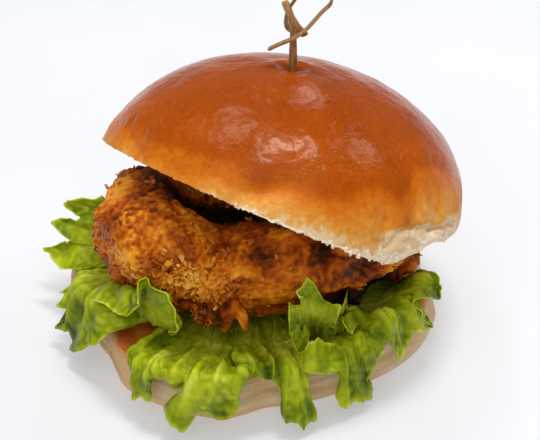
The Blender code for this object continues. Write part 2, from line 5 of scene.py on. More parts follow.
import bmesh
import bpy
import numpy as np
from mathutils import Matrix, Vector, noise
from mathutils.bvhtree import BVHTree


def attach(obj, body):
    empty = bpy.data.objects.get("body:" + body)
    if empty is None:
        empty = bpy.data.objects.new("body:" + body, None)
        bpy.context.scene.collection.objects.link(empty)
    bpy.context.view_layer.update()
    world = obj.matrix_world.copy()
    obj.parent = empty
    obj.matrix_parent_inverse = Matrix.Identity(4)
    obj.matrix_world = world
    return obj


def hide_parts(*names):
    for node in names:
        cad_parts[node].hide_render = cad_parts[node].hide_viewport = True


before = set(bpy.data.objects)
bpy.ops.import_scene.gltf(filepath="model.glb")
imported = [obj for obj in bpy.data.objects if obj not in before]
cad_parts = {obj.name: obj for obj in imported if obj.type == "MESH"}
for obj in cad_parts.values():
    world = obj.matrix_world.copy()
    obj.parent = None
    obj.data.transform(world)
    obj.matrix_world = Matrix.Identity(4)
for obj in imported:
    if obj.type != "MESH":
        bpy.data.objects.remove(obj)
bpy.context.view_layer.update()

MM = 0.001

# The same driving sizes as the solids, in millimetres
HEEL_RX = 53
HEEL_RY = 53.8
HEEL_H = 14
CROWN_C = Vector((7.3, -4, 43.2))
CROWN_RX = 50.4
CROWN_RY = 48.9
CROWN_UP = 35.2
CROWN_DOWN = 16
CROWN_TURN = (Matrix.Rotation(radians(-16.9), 3, "X")
              @ Matrix.Rotation(radians(7.4), 3, "Y"))
CUT_Z = -6.9
CUT_DX = -0.283
CUT_DY = -0.249
TORN_Z = -4.5
TORN_DY = -0.12
PICK_X = 10.65
PICK_Y = 1
KNOT_Z = 88.6
LEAF_HALF = 0.28

# How finely each form is made: points around, points along, and counts of small pieces
CROWN_AROUND = 440
CROWN_ROWS = 120
CROWN_UNDER = 40
HEEL_AROUND = 420
HEEL_ROWS = 64
BATTER_STEP = 0.55
DRIP_AROUND = 20
DRIP_ROWS = 16
FLAKE_TRIES = 9000
FLAKES = 1500
LEAF_COLUMNS = 12
LEAF_ROWS = 48
PICK_AROUND = 16
TUFTS = 620


# ---- helpers

def smooth(a, b, x):
    """Ease from 0 at a to 1 at b, in either direction."""
    t = min(1, max(0, (x - a) / (b - a)))
    return t * t * (3 - 2 * t)


def bump(x, centre, width):
    """1 at the centre, falling away evenly on both sides."""
    return exp(-((x - centre) / width) ** 2)


def rough_at(p, size, seed):
    """Even noise in about -1..1 at a millimetre point."""
    return noise.noise(Vector((p[0] / size + seed, p[1] / size - seed,
                               p[2] / size + 0.5 * seed)))


def catmull(points, t):
    """Point at t (0..1) on an even spline through the given points."""
    n = len(points) - 1
    s = min(max(t, 0), 1) * n
    i = min(int(s), n - 1)
    f = s - i
    p1 = points[i]
    p2 = points[i + 1]
    p0 = points[i - 1] if i > 0 else 2 * p1 - p2
    p3 = points[i + 2] if i + 2 <= n else 2 * p2 - p1
    a = 2 * p1
    b = p2 - p0
    c = 2 * p0 - 5 * p1 + 4 * p2 - p3
    d = 3 * (p1 - p2) + p3 - p0
    return 0.5 * (a + b * f + c * f * f + d * f * f * f)


def polar(angle, radius, height):
    """Point at an azimuth in degrees, a radius and a height."""
    a = radians(angle)
    return Vector((radius * cos(a), radius * sin(a), height))


def unwrap(a, near):
    """The same angle in degrees, within half a turn of another."""
    return a - 360 * round((a - near) / 360)


def link(obj):
    bpy.context.scene.collection.objects.link(obj)
    return obj


def add_mesh(name, verts, faces, mat, marks=None):
    """Make an object from millimetre points, with number attributes per point."""
    mesh = bpy.data.meshes.new(name)
    mesh.from_pydata([(v[0] * MM, v[1] * MM, v[2] * MM) for v in verts], [], faces)
    for key, values in (marks or {}).items():
        layer = mesh.attributes.new(key, "FLOAT", "POINT")
        layer.data.foreach_set("value", [float(x) for x in values])
    mesh.materials.append(mat)
    mesh.shade_smooth()
    return link(bpy.data.objects.new(name, mesh))


def settle(obj, slot, *nodes):
    """Fix a piece to the body, hiding the solids it stands for; slot is not used."""
    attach(obj, "root")
    if nodes:
        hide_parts(*nodes)
    return obj


def noise_at(x, y, z):
    return noise.noise(Vector((x, y, z)))


def azimuth(p):
    return degrees(atan2(p.y, p.x))


def sheet_rim(nu, nv, start=0):
    """Quads around a sheet, between its two layers of nu by nv points."""
    m = nu * nv
    rim = list(range(nu - 1)) + [j * nu + nu - 1 for j in range(nv - 1)]
    rim += [m - 1 - i for i in range(nu - 1)] + [(nv - 1 - j) * nu for j in range(nv - 1)]
    return [(start + b, start + a, start + m + a, start + m + b)
            for a, b in zip(rim, rim[1:] + rim[:1])]


def add_ring(verts, points):
    """Append points and give their numbers."""
    verts += points
    return list(range(len(verts) - len(points), len(verts)))


def ring_faces(rings):
    """Quads between rings of equal count, triangles where a ring is one point."""
    faces = []
    for a, b in zip(rings, rings[1:]):
        n = max(len(a), len(b))
        for i in range(n):
            j = (i + 1) % n
            if len(a) == 1:
                faces.append((a[0], b[j], b[i]))
            elif len(b) == 1:
                faces.append((a[i], a[j], b[0]))
            else:
                faces.append((a[i], a[j], b[j], b[i]))
    return faces


# ---- materials

def srgb(colour):
    """A display colour 0..255 as linear light."""
    shares = [c / 255 for c in colour]
    return tuple(c / 12.92 if c <= 0.04045 else ((c + 0.055) / 1.055) ** 2.4
                 for c in shares)


class Paint:
    """Builds one node material around its Principled shader."""

    def __init__(self, name):
        self.mat = bpy.data.materials.new(name)
        self.mat.use_nodes = True
        self.tree = self.mat.node_tree
        self.shader = self.tree.nodes["Principled BSDF"]
        self.coords = self.new("ShaderNodeTexCoord").outputs["Object"]

    def new(self, kind, **settings):
        node = self.tree.nodes.new(kind)
        for key, value in settings.items():
            setattr(node, key, value)
        return node

    def put(self, socket, value):
        """Link a socket's output to an input, or set the input to a constant."""
        if isinstance(value, bpy.types.NodeSocket):
            self.tree.links.new(value, socket)
        elif isinstance(value, tuple) and len(value) == 3 and socket.type == "RGBA":
            socket.default_value = (*value, 1)
        else:
            socket.default_value = value

    def fill(self, node, **values):
        for key, value in values.items():
            self.put(node.inputs[key.replace("_", " ")], value)

    def attr(self, name):
        """A number that add_mesh keeps for each point."""
        node = self.new("ShaderNodeAttribute", attribute_name=name)
        return node.outputs["Fac"]

    def calc(self, op, a, b):
        node = self.new("ShaderNodeMath", operation=op)
        self.put(node.inputs[0], a)
        self.put(node.inputs[1], b)
        return node.outputs[0]

    def span(self, value, low, high, out_low=0, out_high=1):
        """Ease from out_low to out_high while the value goes from low to high."""
        node = self.new("ShaderNodeMapRange", interpolation_type="SMOOTHSTEP")
        self.fill(node, Value=value, From_Min=low, From_Max=high, To_Min=out_low,
                  To_Max=out_high)
        return node.outputs["Result"]

    def ramp(self, value, *stops):
        """Colours along a value: each stop is a place, then a display colour."""
        node = self.new("ShaderNodeValToRGB")
        self.put(node.inputs["Fac"], value)
        marks = node.color_ramp.elements
        while len(marks) < len(stops):
            marks.new(0.5)
        for mark, (at, *colour) in zip(marks, stops):
            mark.position = at
            mark.color = (*srgb(colour), 1)
        return node.outputs["Color"]

    def noise(self, size, detail=3, rough=0.5, twist=0, stretch=None):
        """Noise whose grains are about `size` millimetres."""
        node = self.new("ShaderNodeTexNoise")
        where = self.coords
        if stretch:
            mapping = self.new("ShaderNodeMapping")
            self.fill(mapping, Vector=where, Scale=stretch)
            where = mapping.outputs["Vector"]
        self.fill(node, Vector=where, Scale=1 / (size * MM), Detail=detail,
                  Roughness=rough, Distortion=twist)
        return node.outputs["Fac"]

    def vary(self, base, amount, *grain):
        """A value moved up and down by noise, by `amount` from end to end."""
        swing = self.calc("SUBTRACT", self.noise(*grain), 0.5)
        return self.calc("ADD", base, self.calc("MULTIPLY", swing, amount))

    def mix(self, fac, a, b):
        """Colour a going over to b, which is a socket or a display colour."""
        node = self.new("ShaderNodeMix", data_type="RGBA")
        self.put(node.inputs[0], fac)
        self.put(node.inputs[6], a)
        self.put(node.inputs[7], srgb(b) if isinstance(b, tuple) else b)
        return node.outputs[2]

    def relief(self, height, depth, after=None):
        """Bump of `depth` millimetres."""
        node = self.new("ShaderNodeBump")
        self.fill(node, Distance=depth * MM, Height=height)
        if after is not None:
            self.put(node.inputs["Normal"], after)
        return node.outputs["Normal"]

    def finish(self, colour, rough, normal=None, **fixed):
        self.fill(self.shader, Base_Color=colour, Roughness=rough, **fixed)
        if normal is not None:
            self.put(self.shader.inputs["Normal"], normal)
        return self.mat


def crust_material():
    """Glazed crust by how far it is baked, and crumb where the bun is torn."""
    p = Paint("bun_crust")
    bake = p.vary(p.vary(p.attr("bake"), 0.34, 9, 4, 0.6), 0.3, 1.6, 4, 0.65)
    colour = p.ramp(bake, (0, 222, 190, 146), (0.06, 214, 156, 80), (0.13, 211, 134, 44),
                    (0.3, 196, 100, 12), (0.5, 163, 69, 3), (0.72, 143, 55, 1),
                    (1, 110, 37, 0))
    speck = p.span(p.noise(0.55, 2, 0.6), 0.35, 0.75, 0, 0.12)
    colour = p.mix(speck, colour, (222, 138, 40))
    crumb = p.ramp(p.noise(1.1, 3, 0.6), (0.3, 216, 182, 136), (0.65, 246, 232, 206))
    tear = p.vary(p.attr("crumb"), 0.7, 0.9, 3)
    colour = p.mix(p.span(tear, 0.4, 0.62), colour, crumb)
    glaze = p.span(p.attr("bake"), 0.15, 0.5, 0.5, 0.17)
    rough = p.calc("MAXIMUM", glaze, p.span(p.attr("crumb"), 0.2, 0.7, 0, 0.9))
    skin = p.relief(p.noise(0.6, 3, 0.6), 0.052)
    skin = p.relief(p.noise(1.8, 3, 0.6, 0.8, (0.7, 0.7, 1.6)), 0.1, skin)
    skin = p.relief(p.noise(6, 2, 0.5, 0.5, (0.8, 0.8, 1.4)), 0.16, skin)
    return p.finish(colour, rough, skin, Specular_IOR_Level=0.15,
                    Specular_Tint=(1, 0.82, 0.62))


def side_material():
    """Soft matt bread of the heel, toasted at its rim."""
    p = Paint("bun_side")
    colour = p.ramp(p.vary(p.attr("bake"), 0.35, 6, 4, 0.6),
                    (0, 222, 198, 162), (0.3, 214, 178, 130),
                    (0.55, 218, 152, 92), (0.78, 206, 114, 34),
                    (1, 176, 80, 8))
    streak = p.noise(3, 4, 0.6, 0.3, (0.35, 0.35, 1.6))
    colour = p.mix(p.span(streak, 0.52, 0.78, 0, 0.45), colour, (184, 144, 98))
    skin = p.relief(p.noise(0.8, 4, 0.6), 0.12)
    skin = p.relief(p.noise(2.6, 4, 0.6, 0.6, (0.4, 0.4, 1.7)), 0.55, skin)
    return p.finish(colour, 0.72, skin, Specular_IOR_Level=0.15)


def batter_material():
    """Fried crumb, from hollows painted almost black with shade to golden peaks."""
    p = Paint("fried_crumb")
    tone = p.vary(p.vary(p.attr("peak"), 1.62, 12, 3, 0.5), 0.18, 1.6, 4, 0.65)
    colour = p.ramp(tone, (0, 22, 8, 2), (0.22, 78, 27, 1),
                    (0.42, 146, 60, 1), (0.64, 198, 98, 3),
                    (1, 246, 168, 40))
    skin = p.relief(p.noise(0.42, 4, 0.7), 0.17)
    skin = p.relief(p.noise(1.3, 4, 0.65, 0.5), 0.34, skin)
    rough = p.span(p.noise(3, 2), 0.35, 0.65, 0.3, 0.55)
    return p.finish(colour, rough, skin, Specular_IOR_Level=0.26,
                    Specular_Tint=(1, 0.74, 0.42), Subsurface_Weight=0.12,
                    Subsurface_Scale=1, Subsurface_Radius=(0.002, 0.0008, 0.0002))


def flake_material():
    p = Paint("fried_flake")
    colour = p.ramp(p.vary(p.attr("tone"), 0.4, 1.5, 2),
                    (0, 124, 52, 2), (0.4, 192, 104, 6),
                    (0.75, 226, 150, 26), (1, 246, 192, 84))
    return p.finish(colour, 0.42, p.relief(p.noise(0.35, 2), 0.05),
                    Specular_IOR_Level=0.3)


def leaf_material():
    """Moist leaf, from shaded green to pale ribs and rims."""
    p = Paint("lettuce")
    colour = p.ramp(p.vary(p.attr("tone"), 0.7, 9, 3, 0.55),
                    (0, 52, 72, 2), (0.22, 92, 112, 4),
                    (0.45, 136, 150, 8), (0.72, 174, 184, 24),
                    (1, 214, 214, 88))
    colour = p.mix(p.calc("MULTIPLY", p.attr("vein"), 0.34), colour, (190, 192, 80))
    rough = p.span(p.noise(4, 2), 0.3, 0.7, 0.28, 0.46)
    return p.finish(colour, rough, p.relief(p.noise(0.7, 3, 0.6), 0.06),
                    Specular_IOR_Level=0.17, Specular_Tint=(0.95, 1, 0.4),
                    Subsurface_Weight=0.18, Subsurface_Scale=1,
                    Subsurface_Radius=(0.0006, 0.0009, 0.0001))


def bamboo_material():
    p = Paint("bamboo")
    grain = p.noise(1.2, 4, 0.6, 0.2, (3, 3, 0.35))
    colour = p.ramp(grain, (0.25, 104, 66, 28), (0.5, 158, 112, 60),
                    (0.75, 196, 156, 100))
    return p.finish(colour, 0.5, p.relief(grain, 0.08))


def floor_material():
    p = Paint("floor")
    shade = p.ramp(p.noise(60, 2), (0.3, 187.5, 187.5, 189.2), (0.7, 190.9, 190.9, 192.5))
    return p.finish(shade, 0.9, None, Specular_IOR_Level=0,
                    Emission_Color=(0.92, 0.92, 0.94), Emission_Strength=0.36)


# ---- crown

def crown_dome(az, phi):
    """The crown's smooth skin about its own centre, by azimuth and latitude."""
    height = CROWN_UP if phi > 0 else CROWN_DOWN
    return Vector((CROWN_RX * cos(phi) * cos(az),
                   CROWN_RY * cos(phi) * sin(az),
                   height * sin(phi)))


def cut_height(x, y):
    """Height of the cut under the crown, raised where its edge is torn."""
    az = degrees(atan2(y, x))
    r = hypot(x, y) / CROWN_RX
    torn = smooth(-54, -40, az) * smooth(95, 50, az) * smooth(0.3, 0.8, r)
    plane = CUT_Z + CUT_DX * x + CUT_DY * y
    high = TORN_Z + TORN_DY * y
    return plane + max(0, high - plane) * torn


def rim_phi(az):
    """Latitude where the crown's skin meets the cut."""
    low = -0.5 * pi
    high = 0.5 * pi
    for _ in range(30):
        mid = 0.5 * (low + high)
        p = crown_dome(az, mid)
        if p.z > cut_height(p.x, p.y):
            high = mid
        else:
            low = mid
    return high


# Creases in the crust: points (azimuth, latitude), half width and depth in mm
CREASES = (
    (((-107, 13), (-104, 17), (-101, 19), (-96, 22), (-90, 25)), 2.4, 0.8),
    (((-160, 30), (-155, 26), (-150, 23), (-144, 21)), 1.3, 0.5),
    (((-152, 34), (-149, 28), (-146, 26)), 1, 0.3),
    (((-58, 18), (-57, 15), (-58, 12)), 1.3, 0.75),
    (((-58, 12), (-59, 7), (-59, 1)), 0.8, 0.4),
    (((-58, 0), (-54, 7), (-49, 7.5), (-42, 6.5), (-34, 5), (-22, 3)), 0.9, 0.9),
    (((-53, 6), (-50, 2), (-44, 1)), 0.7, 0.5),
    (((-39, 18), (-39, 13), (-38, 5)), 0.9, 0.6),
    (((-34, 18), (-35, 14), (-36, 9), (-37, 5)), 0.9, 0.5),
    (((-47, 16), (-47, 12), (-47, 7)), 0.8, 0.4),
    (((-28, 14), (-29, 8), (-27, 3)), 0.9, 0.5),
    (((20, 12), (24, 5), (22, -2)), 1.2, 0.5),
    (((70, 8), (76, 2), (74, -8)), 1.3, 0.6),
    (((120, 10), (124, 2), (130, -4)), 1.2, 0.5),
    (((168, 20), (172, 12), (170, 4)), 1.4, 0.6),
)


def crease_depth(a, f):
    """How far the creases sink the crust at an azimuth and latitude in degrees."""
    total = 0
    for path, width, depth in CREASES:
        if not (path[0][0] - 14 < a < path[-1][0] + 14
                or path[-1][0] - 14 < a < path[0][0] + 14):
            continue
        best = 1e9
        for (a0, f0), (a1, f1) in zip(path, path[1:]):
            k = radians(CROWN_RX) * cos(radians(f0))
            ax = (a - a0) * k
            ay = (f - f0) * 0.66
            bx = (a1 - a0) * k
            by = (f1 - f0) * 0.66
            t = min(1, max(0, (ax * bx + ay * by) / (bx * bx + by * by)))
            best = min(best, hypot(ax - t * bx, ay - t * by))
        total += depth * exp(-(best / width) ** 2)
    return total


def crown_relief(az, phi, p):
    """Dents, creases and grain of the crust, and the dimple around the pick."""
    a = degrees(az)
    f = degrees(phi)
    h = 0.45 * rough_at(p, 21, 3.1) + 0.22 * rough_at(p, 9, 7.7)
    h -= 1.3 * bump(a, -97, 10) * bump(f, 22, 6)
    h -= 0.9 * bump(a, -150, 5) * bump(f, 20, 10)
    h += 0.7 * bump(a, -160, 6) * bump(f, 16, 8)
    h += 0.4 * sin(a * 0.55) * bump(a, -38, 22) * bump(f, 6, 14)
    wobble = 2 * rough_at(p, 5, 1.7)
    h -= crease_depth(a + wobble, f + wobble)
    low = smooth(14, 4, f) * bump(a, -40, 30)
    h += low * 0.5 * rough_at((p.x, p.y, 2.2 * p.z), 4, 2.6)
    h += 0.16 * rough_at(p, 5.5, 12) - 0.12 * abs(rough_at(p, 3, 5))
    h += 0.04 * rough_at(p, 1.4, 9)
    stem = CROWN_TURN.transposed() @ (Vector((PICK_X, PICK_Y, 78)) - CROWN_C)
    d = hypot(p.x - stem.x, p.y - stem.y)
    if p.z > 0:
        h -= 1.6 * exp(-(d / 2.6) ** 2)
        h += 0.35 * exp(-((d - 5) / 1.8) ** 2)
    return h


def crown_column(az):
    """Crust points at one azimuth, from the torn rim almost to the top."""
    a = degrees(az)
    step = CROWN_AROUND * (a / 360 + 0.5)
    rag = 0.5 * noise_at(step * 0.31, 2, 0) + 0.6 * noise_at(step * 0.9, 5, 0)
    torn = bump(a, -58, 14) + 0.5 * bump(a, -85, 22)
    edge = rim_phi(az) + radians(rag * (0.9 + 1.4 * torn))
    column = []
    for k in range(CROWN_ROWS):
        phi = edge + (0.5 * pi - edge) * (k / CROWN_ROWS) ** 1.12
        p = crown_dome(az, phi)
        tall = CROWN_UP if phi > 0 else CROWN_DOWN
        out = Vector((p.x / CROWN_RX ** 2, p.y / CROWN_RY ** 2, p.z / tall ** 2))
        column.append(p + out.normalized() * crown_relief(az, phi, p))
    return column


def crust_marks(a, p, run):
    """How baked and how bare the crust is at p, run mm up from its rim at azimuth a."""
    d = run + 1.6 * rough_at(p, 12, 6) + 0.8 * rough_at(p, 4, 8)
    d *= 1 - 0.58 * bump(a, -42, 30) * smooth(38, 12, run)
    d += 5 * smooth(-100, -125, a)
    phi = degrees(asin(min(1, max(0, p.z / CROWN_UP))))
    bake = (0.08 * smooth(0, 4, d) + 0.22 * smooth(3, 10, d)
            + 0.24 * smooth(9, 15, d) + 0.16 * smooth(15, 34, d))
    bake += 0.16 * bump(a, -100, 6) * bump(phi, 25, 7)
    bake += 0.14 * bump(a, -79, 9) * bump(phi, 24, 4)
    bake += 0.1 * rough_at(p, 15, 3) * smooth(4, 16, d)
    bake += 0.22 * bump(a, -50, 1.6) * bump(phi, 10, 3)
    bake += 0.1 * bump(a, -104, 20) * bump(phi, 30, 14)
    pale = smooth(8.5, 6, phi + 2 * rough_at(p, 5, 2))
    pale *= smooth(-64, -57, a) * smooth(-10, -24, a)
    torn = 0.55 + 6.2 * bump(a, -50, 12) + 0.5 * bump(a, -84, 18)
    torn += 1.4 * bump(a, -34, 9) - 0.4 * smooth(-115, -135, a)
    reach = torn * (0.85 + 1.1 * rough_at(p, 2.6, 14))
    # The edge shows least crumb at the left and behind
    open_edge = 0.25 + 0.75 * smooth(-112, -92, a) if a < 0 else 0.25
    bare = open_edge * (1 - smooth(0.2 * reach, 1.3 * reach + 0.5, run))
    loose = pale * (0.22 + 0.6 * rough_at(p, 2.4, 19))
    return bake * (1 - 0.95 * pale) - 0.03 * pale, max(loose, bare)


def torn_point(middle, edge, r):
    """A point under the crown, r of the way from the middle to a point of the rim."""
    p = middle.lerp(edge, r)
    lift = 0.5 + 0.7 * (1 - r) + 0.6 * rough_at(p, 7, 4.4)
    lift += 0.5 * rough_at(p, 2.4, 3) + 0.35 * abs(rough_at(p, 1.2, 6))
    lift *= smooth(0, 0.06, 1 - r)
    flat = cut_height(p.x, p.y)
    p.z = flat + lift + (edge.z - cut_height(edge.x, edge.y)) * r ** 8
    return p


def build_crown(mat):
    """The crown's crust and torn underside; also gives the points of its rim."""
    verts = []
    bake = []
    crumb = []
    rings = [[] for _ in range(CROWN_ROWS)]
    rim = []
    for i in range(CROWN_AROUND):
        column = crown_column(tau * i / CROWN_AROUND - pi)
        rim.append(column[0])
        run = 0
        for k, p in enumerate(column):
            if k:
                run += (p - column[k - 1]).length
            toast, bare = crust_marks(360 * i / CROWN_AROUND - 180, p, run)
            bake.append(toast)
            crumb.append(bare)
            rings[k].append(len(verts))
            verts.append(p)
    pole = crown_dome(0, 0.5 * pi)
    pole.z += crown_relief(0, 0.5 * pi, pole)
    rings.append(add_ring(verts, [pole]))
    bake.append(0.9)
    crumb.append(0)
    middle = sum(rim, Vector()) / CROWN_AROUND
    middle.z = cut_height(middle.x, middle.y) + 2
    under = [rings[0]]
    for k in range(1, CROWN_UNDER):
        r = 1 - (k / CROWN_UNDER) ** 1.2
        under.append(add_ring(verts, [torn_point(middle, edge, r) for edge in rim]))
    under.append(add_ring(verts, [middle]))
    torn = len(verts) - len(bake)
    bake += [0] * torn
    crumb += [1] * torn
    faces = ring_faces(rings)
    faces += [tuple(reversed(f)) for f in ring_faces(under)]
    placed = [CROWN_TURN @ v + CROWN_C for v in verts]
    obj = add_mesh("crown_bread", placed, faces, mat, {"bake": bake, "crumb": crumb})
    settle(obj, "bun_crust", "crown")
    return obj, [CROWN_TURN @ p + CROWN_C for p in rim]


# ---- heel

def heel_reach(angle):
    """Share of the full radius: the heel is flatter at the front right and left."""
    a = degrees(atan2(sin(angle), cos(angle)))
    flat = 5.4 * smooth(-101, -84, a) * smooth(-18, -66, a)
    flat += 4.3 * smooth(-128, -146, a) * smooth(-172, -158, a)
    flat += 2.8 * smooth(-14, 4, a) * smooth(56, 34, a)
    return 1 - flat / HEEL_RX


def crumple(p, z):
    """Long folds around the heel's soft side."""
    return rough_at((p.x * 0.45, p.y * 0.45, 2.4 * z), 5.5, 8.5)


def heel_skin(angle, r, z):
    """A point of the heel, r of the way out and z mm up, dented and folded."""
    r *= 1 - (1 - heel_reach(angle)) * smooth(0.3, 0.9, r)
    p = Vector((HEEL_RX * r * cos(angle), HEEL_RY * r * sin(angle), z))
    if z <= 0:
        return p
    side = smooth(0, 3, z) * smooth(0.6, 0.95, r)
    out = Vector((cos(angle), sin(angle), 0)) * side
    even = p.copy()
    p += out * 0.7 * rough_at((even.x, even.y, 3 * z), 16, 2)
    p += out * 0.4 * rough_at((even.x, even.y, 1.6 * z), 6.5, 5)
    p -= out * 4.6 * (bump(azimuth(p), 6, 16) * smooth(3, 12, z))
    deep = 0.6 + 0.8 * smooth(-0.2, 0.4, rough_at(p, 24, 4))
    wrinkle = abs(rough_at((p.x * 0.7, p.y * 0.7, 2 * z), 3, 3.5))
    p += out * deep * (0.55 * crumple(p, z) - 0.35 * wrinkle)
    p += out * 0.1 * rough_at(p, 1.6, 7)
    p.z += 0.35 * rough_at(even, 9, 8) * smooth(5, 12, z)
    return p


# The heel's side from its foot to its cut face, as (share of the radius, height)
HEEL_PROFILE = ((0.9, 0), (0.94, 0), (0.98, 1), (1, 3.4), (0.998, 6.5),
                (0.985, 10), (0.965, 12.8), (0.935, 14), (0.86, 14), (0.7, 13.8))


def heel_toast(p, r, z, inside):
    left = smooth(-176, -160, azimuth(p)) * smooth(-116, -128, azimuth(p))
    if inside:
        return 0.3 + 0.5 * left + 0.3 * rough_at(p, 6, 2)
    toast = 0.2 + 0.4 * smooth(11.2, 13.6, z) * smooth(0.8, 0.9, r)
    toast += left * (0.1 + 0.3 * smooth(8, 13, z))
    toast += 0.2 * smooth(1.6, 0.3, z) * smooth(0.9, 0.97, r)
    # Painted shade: the toast is darker in the hollows of the folds and lighter on their
    # ridges.
    return toast + 0.22 * rough_at(p, 11, 5) - 0.25 * crumple(p, z)


def build_heel(mat):
    path = [Vector((r, z, 0)) for r, z in HEEL_PROFILE]
    profile = [(0.3, 0), (0.6, 0), (0.8, 0)]
    for k in range(HEEL_ROWS + 1):
        q = catmull(path, k / HEEL_ROWS)
        profile.append((q.x, max(0, q.y)))
    profile += [(0.6, 13.75), (0.5, 13.7), (0.4, 13.6), (0.3, 13.6), (0.2, 13.6)]
    rings = [[0]]
    verts = [Vector((0, 0, 0))]
    bake = [0.2]
    for r, z in profile:
        inside = r < 0.86 and z > 12
        ring = []
        for i in range(HEEL_AROUND):
            p = heel_skin(tau * i / HEEL_AROUND, r, z)
            bake.append(heel_toast(p, r, z, inside))
            if inside:
                p.z += 0.3 * rough_at(p, 2.2, 6)
            ring.append(p)
        rings.append(add_ring(verts, ring))
    rings.append(add_ring(verts, [Vector((0, 0, 13.6))]))
    bake.append(0.3)
    obj = add_mesh("heel_bread", verts, ring_faces(rings), mat, {"bake": bake})
    settle(obj, "bun_side", "heel")


# ---- fillet

# Hollows in the batter: place, reach and depth in mm
PITS = ((Vector((-24, -40.5, 41.5)), 3.2, 1.6),
        (Vector((-19, -41, 36.5)), 3.4, 1.8),
        (Vector((-14.5, -40.5, 31)), 2.6, 1.2),
        (Vector((-9, -38, 28)), 3, 1),
        (Vector((20, -36, 30)), 3, 1.6),
        (Vector((27, -34, 34)), 2.6, 1.6),
        (Vector((31, -33, 38)), 3, 1.4),
        (Vector((-31, -32, 44)), 3.5, 1),
        (Vector((6, -38, 28)), 5, 1.2))


def batter_at(p):
    """Height of the batter's relief in mm at p, and its tone from hollow to peak, which
    carries painted shade in the hollows, low down and in the gap under the crown.
    """
    flaky = flaky_at(p)
    calm = 1 - 0.6 * smooth(0, 12, p.y)
    bend = p + 2.2 * Vector((rough_at(p, 6, 2), rough_at(p, 6, 4),
                             rough_at(p, 6, 8)))
    lump = rough_at(bend, 9, 21)
    ridge = 0.6 * abs(rough_at(bend, 5, 71)) + 0.6 * abs(rough_at(p, 3.1, 17))
    crag = min(0.5, ridge) - 0.22
    flake = 0.3 - 1.1 * abs(rough_at(p, 1.9, 47))
    grit = rough_at(p, 0.9, 5)
    pit = sum(deep * exp(-((p - at).length / wide) ** 2) for at, wide, deep in PITS)
    # Painted shade: under marks the gap under the crown's rim, where the batter is sunk
    # and coloured almost black.
    under = shade_at(p)
    # right raises crag lumps at the right end and darkens the batter there as painted
    # shadow of the crown.
    right = smooth(6, 24, p.x)
    # Painted shade: the hollow low at the right end, sunk and darkened.
    right_hollow_shade = smooth(20, 25, p.x) * smooth(34, 29, p.z) * smooth(40, 34, p.x)
    h = 0.9 * rough_at(p, 15, 33) + 0.9 * lump + (0.85 + 1.3 * flaky) * crag
    h += (0.3 + flaky) * flake + (0.14 + 0.3 * flaky) * grit
    h = h * calm - pit - 3.6 * under - 2.4 * right_hollow_shade
    h -= (0.2 + 2.2 * smooth(49, 44, p.z)) * smooth(-33, -43, p.x)
    h += (2.2 * lump + 0.8 * crag) * right
    # Painted shade: the tone follows the relief, lighter on peaks and darker in pits,
    # crags and hollows, and darker towards the bottom; it also varies with the lumps and
    # the flakes.
    tone = (0.52 + 0.26 * lump + (0.16 + 0.24 * flaky) * crag
            + (0.04 + 0.14 * flaky) * flake + (0.03 + 0.08 * flaky) * grit
            - 0.12 * pit + 0.04 * flaky - 1.1 * under - 0.11 * right
            - 0.8 * right_hollow_shade - 0.12 * smooth(31, 23, p.z)
            - 0.24 * bump(p.x, 10, 5) * bump(p.z, 43, 7)
            + 0.17 * smooth(-16, -34, p.x) * smooth(28, 38, p.z))
    return h, tone


def build_fillet(mat):
    """The fillet's solid, remeshed finely and roughened into fried batter."""
    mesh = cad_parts["fish_fillet"].data.copy()
    mesh.name = "fillet_batter"
    obj = link(bpy.data.objects.new("fillet_batter", mesh))
    bm = bmesh.new()
    bm.from_mesh(mesh)
    bmesh.ops.remove_doubles(bm, verts=bm.verts[:], dist=1e-6)
    bm.to_mesh(mesh)
    bm.free()
    remesh = obj.modifiers.new("remesh", "REMESH")
    remesh.mode = "VOXEL"
    remesh.voxel_size = BATTER_STEP * MM
    ease = obj.modifiers.new("ease", "SMOOTH")
    ease.iterations = 5
    ease.factor = 0.5
    deps = bpy.context.evaluated_depsgraph_get()
    fine = bpy.data.meshes.new_from_object(obj.evaluated_get(deps))
    obj.modifiers.clear()
    obj.data = fine
    bpy.data.meshes.remove(mesh)
    peak = []
    moved = []
    for v in fine.vertices:
        h, tone = batter_at(v.co / MM)
        moved.append(v.co + v.normal * (h * MM))
        peak.append(tone)
    fine.vertices.foreach_set("co", [c for p in moved for c in p])
    fine.update()
    layer = fine.attributes.new("peak", "FLOAT", "POINT")
    # Painted shade: the curvature darkens the hollows and lightens raised points.
    layer.data.foreach_set("value", [a + b for a, b in zip(peak, curvature(fine))])
    fine.materials.clear()
    fine.materials.append(mat)
    fine.shade_smooth()
    return settle(obj, "fried_crumb", "fish_fillet")


def shade_at(p):
    """1 in the deep gap between the fillet and the crown's rim, 0 elsewhere; there the
    batter is sunk and painted with shade.
    """
    s = (p.x + 27) / 26
    if not -0.4 < s < 1.5:
        return 0
    line_y = -20 + 7 * min(1, max(0, s)) - 12 * max(0, s - 1)
    across = (p.y - line_y) / 4.6
    reach = smooth(0.08, 0.42, s) * smooth(1.35, 0.85, s)
    return reach * exp(-across * across) * smooth(30, 38, p.z)


def flaky_at(p):
    """0 on the glossy smooth batter, 1 where it is all loose flakes."""
    f = 0.26 + 0.9 * exp(-((p.x + 16) / 14) ** 2 - ((p.z - 31) / 10) ** 2)
    f -= 0.1 * exp(-((p.x - 32) / 10) ** 2)
    f -= 0.35 * exp(-((p.x - 10) / 13) ** 2)
    f += 0.35 * rough_at(p, 11, 9)
    return min(1, max(0, f))


